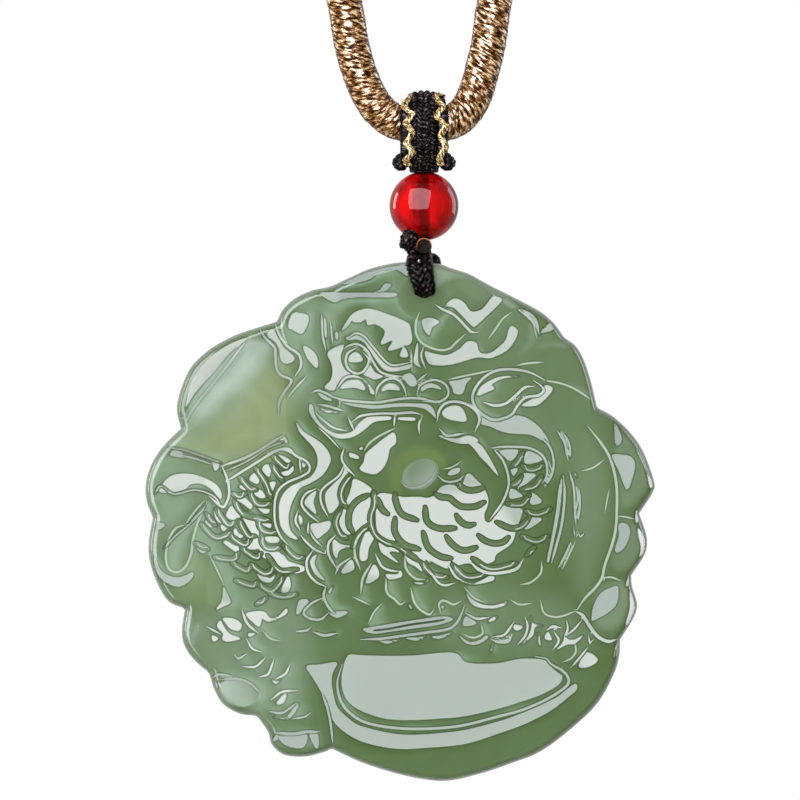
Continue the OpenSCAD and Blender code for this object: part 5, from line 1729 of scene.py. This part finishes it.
# The form value adds painted shade in hollows and painted light on crests
tint = ramp(sum_of("MULTIPLY_ADD", held("form"), 0.22, tone),
            [(0.30, (0.041, 0.067, 0.020)), (0.55, (0.053, 0.083, 0.034)),
             (0.70, (0.098, 0.142, 0.085))])
flock = node(tree, "ShaderNodeTexNoise",
             {"Vector": where, "Scale": 900, "Detail": 5}).outputs["Fac"]
grain = spread(flock, (0, 1), (0.94, 1.06), "LINEAR")


def mixed(share, first, second):
    """Mixes two colours. Each is a socket or three numbers, and the share counts the second."""
    first, second = ((*colour, 1) if isinstance(colour, tuple) else colour
                     for colour in (first, second))
    return node(tree, "ShaderNodeMix", {"Factor": share, 6: first, 7: second},
                data_type="RGBA").outputs[2]


# Painted light: the thin rim and the thin places are painted paler as if light came through them,
# with the painted sheen and the pale painted glint of faint ridges, and the cut edges get painted
# shade
sheen_share, glow_here, _ = split("inner")
catching, missing, _ = split("catch")
colour_with_painted_light = mixed(sum_of("POWER", held("thin"), 2.0), tint, (0.10, 0.13, 0.08))
colour_with_painted_light = mixed(sheen_share, colour_with_painted_light, (0.180, 0.225, 0.172))
colour_with_painted_light = mixed(glow_here, colour_with_painted_light, (0.094, 0.124, 0.036))
colour_with_painted_light = mixed(painted_glint_line, colour_with_painted_light, (0.21, 0.245, 0.19))
shaded = node(tree, "ShaderNodeVectorMath",
              {0: colour_with_painted_light, "Scale": sum_of("MULTIPLY", grain, lost(dark, 0.56))},
              operation="SCALE").outputs[0]
# Under a facet the stone's colour gives way to a darker green, painted paler for a painted
# highlight where the facet catches more light and darker for painted shade where it catches less
painted_facet_light = mixed(catching, (0.050, 0.078, 0.034), (0.210, 0.212, 0.172))
painted_facet_light = mixed(missing, painted_facet_light, (0.012, 0.034, 0.008))
feed(shader, {
    "Base Color": mixed(sum_of("MULTIPLY", mirror, 0.85), shaded, painted_facet_light), "Normal": evened,
    "Roughness": sum_of("MULTIPLY_ADD", held("matt"), 0.34, 0.045), "IOR": 1.66,
    "Specular Tint": (0.91, 0.87, 1.0, 1), "Specular IOR Level": 0.46,
    "Subsurface Weight": 0.2, "Subsurface Radius": (0.8, 1.0, 0.6), "Subsurface Scale": 0.001})

jade = finished_mesh("jade_carved", bm, stone)
HOLE_R = 0.001
bm = bmesh.new()
bmesh.ops.create_cone(bm, cap_ends=True, segments=48, radius1=HOLE_R, radius2=HOLE_R, depth=0.04)
bmesh.ops.rotate(bm, verts=bm.verts, cent=(0, 0, 0), matrix=Matrix.Rotation(math.pi / 2, 3, "X"))
bmesh.ops.translate(bm, verts=bm.verts, vec=(0, 0, HOLE_Z * 0.001))
drill = finished_mesh("drill", bm, stone)
bored = jade.modifiers.new("hole", "BOOLEAN")
bored.operation = "DIFFERENCE"
bored.solver = "EXACT"
bored.object = drill
ready = jade.evaluated_get(bpy.context.evaluated_depsgraph_get())
mesh = bpy.data.meshes.new_from_object(ready)
jade.modifiers.clear()
plain_mesh = jade.data
jade.data = mesh
bpy.data.meshes.remove(plain_mesh)
bpy.data.objects.remove(drill)
mesh.name = "jade_carved"

# The shading follows the soft leans of the carving exactly. Then the cuts are sunk in
count = len(mesh.vertices)
spots = np.empty(count * 3)
mesh.vertices.foreach_get("co", spots)
spots = spots.reshape(-1, 3)
turned = np.array([n.vector for n in mesh.vertex_normals])
vx = HOLE_AT[0] + spots[:, 0] / SQUARE
vy = HOLE_AT[1] + (HOLE_Z * 0.001 - spots[:, 2]) / SQUARE
rim = away_from(vx, vy, outline, True)[0]
outward = -turned[:, 1]
front_face = (outward > 0.3) & (spots[:, 1] < -RIM_HALF * 0.0011)
level = np.clip((rim - 1) / (RIM_ROUND - 1), 0, 1)
lean_r = turned[:, 0] / np.maximum(outward, 0.1)
lean_d = -turned[:, 2] / np.maximum(outward, 0.1)
lean_r += (-sampled(soft_x, vx, vy) * 10 - lean_r) * level
lean_d += (-sampled(soft_y, vx, vy) * 10 - lean_d) * level
fresh = np.stack([lean_r, -np.ones(count), -lean_d], axis=1)
fresh /= np.linalg.norm(fresh, axis=1)[:, None]
fresh[~front_face] = 0

# What the material reads: each place's distance to the ridges, the strokes and the facets
FAR = 9.0
FAR_OUT = -6.0
ridge = np.tile([FAR, FAR, 1.0], (count, 1))
for width, sign, line in ridge_list:
    line = drawn(line)
    spot = np.nonzero(near(vx, vy, line, 6))[0]
    d, along, whole, side, _ = away_from(vx[spot], vy[spot], line)
    spot, d, along, side = (a[d < ridge[spot, 1]] for a in (spot, d, along, side))
    taper = np.clip(np.minimum(along, whole - along) / (4 + whole * 0.12) + 0.25, 0, 1)
    ridge[spot] = np.stack([side, d, width / 2 * taper * sign], axis=1)
stroke = np.tile([FAR, FAR, 0.0], (count, 1))
nearest = np.full(count, FAR)
cut_in = np.zeros(count)
for width, depth, line in cut_list:
    spot = np.nonzero(near(vx, vy, line, 8))[0]
    d, along, whole, side, square = away_from(vx[spot], vy[spot], line)
    cut_in[spot] = np.maximum(cut_in[spot], groove(d, along, whole, width, depth))
    pick = d < nearest[spot]
    spot, d, along, side, square = spot[pick], d[pick], along[pick], side[pick], square[:, pick]
    nearest[spot] = d
    end = np.clip(np.minimum(along, whole - along) / 5 + 0.1, 0, 1)
    lit_at = (square[0] * 0.5 + square[1] * 0.85) * 0.16 * width
    stroke[spot] = np.stack([side - lit_at + 4 * (1 - end), d - width / 2 * (0.7 + 0.3 * end),
                             np.full(len(d), width)], axis=1)
spots[:, 1] += cut_in * 0.001 * front_face
mesh.vertices.foreach_set("co", spots.ravel())
mesh.normals_split_custom_set_from_vertices(fresh.tolist())
facet = np.full(count, FAR_OUT)
for line in facet_list:
    line = drawn(line, True)
    spot = np.nonzero(near(vx, vy, line, 5))[0]
    d = away_from(vx[spot], vy[spot], line, True)[0]
    d = np.where(inside(vx[spot], vy[spot], line), d, -d)
    facet[spot] = np.maximum(facet[spot], d)
facet[~front_face] = FAR_OUT
ridge[~front_face] = (FAR, FAR, 1)
stroke[~front_face] = (FAR, FAR, 0)
read = {name: sampled(sheet, vx, vy) * front_face for name, sheet in (
    ("pale", pale), ("warm", warm), ("more", more), ("less", less), ("matt", matt),
    ("form", shape))}
# Stored with them: the painted sheen and glow, the painted highlight and shade of the facets, the
# rim's nearness for its painted glow, and the painted light and shade of crests and hollows
for name, values in (
        ("ridge", ridge), ("stroke", stroke),
        ("inner", np.stack([read["pale"], read["warm"], np.zeros(count)], axis=1)),
        ("catch", np.stack([read["more"], read["less"], np.zeros(count)], axis=1)),
        ("facet", facet), ("thin", np.clip(1 - rim / 7, 0, 1)), ("matt", read["matt"]),
        ("form", read["form"])):
    kind, key = ("FLOAT_VECTOR", "vector") if values.ndim == 2 else ("FLOAT", "value")
    mesh.attributes.new(name, kind, "POINT").data.foreach_set(key, values.ravel())
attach(jade, "drop")
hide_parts("jade_pendant")
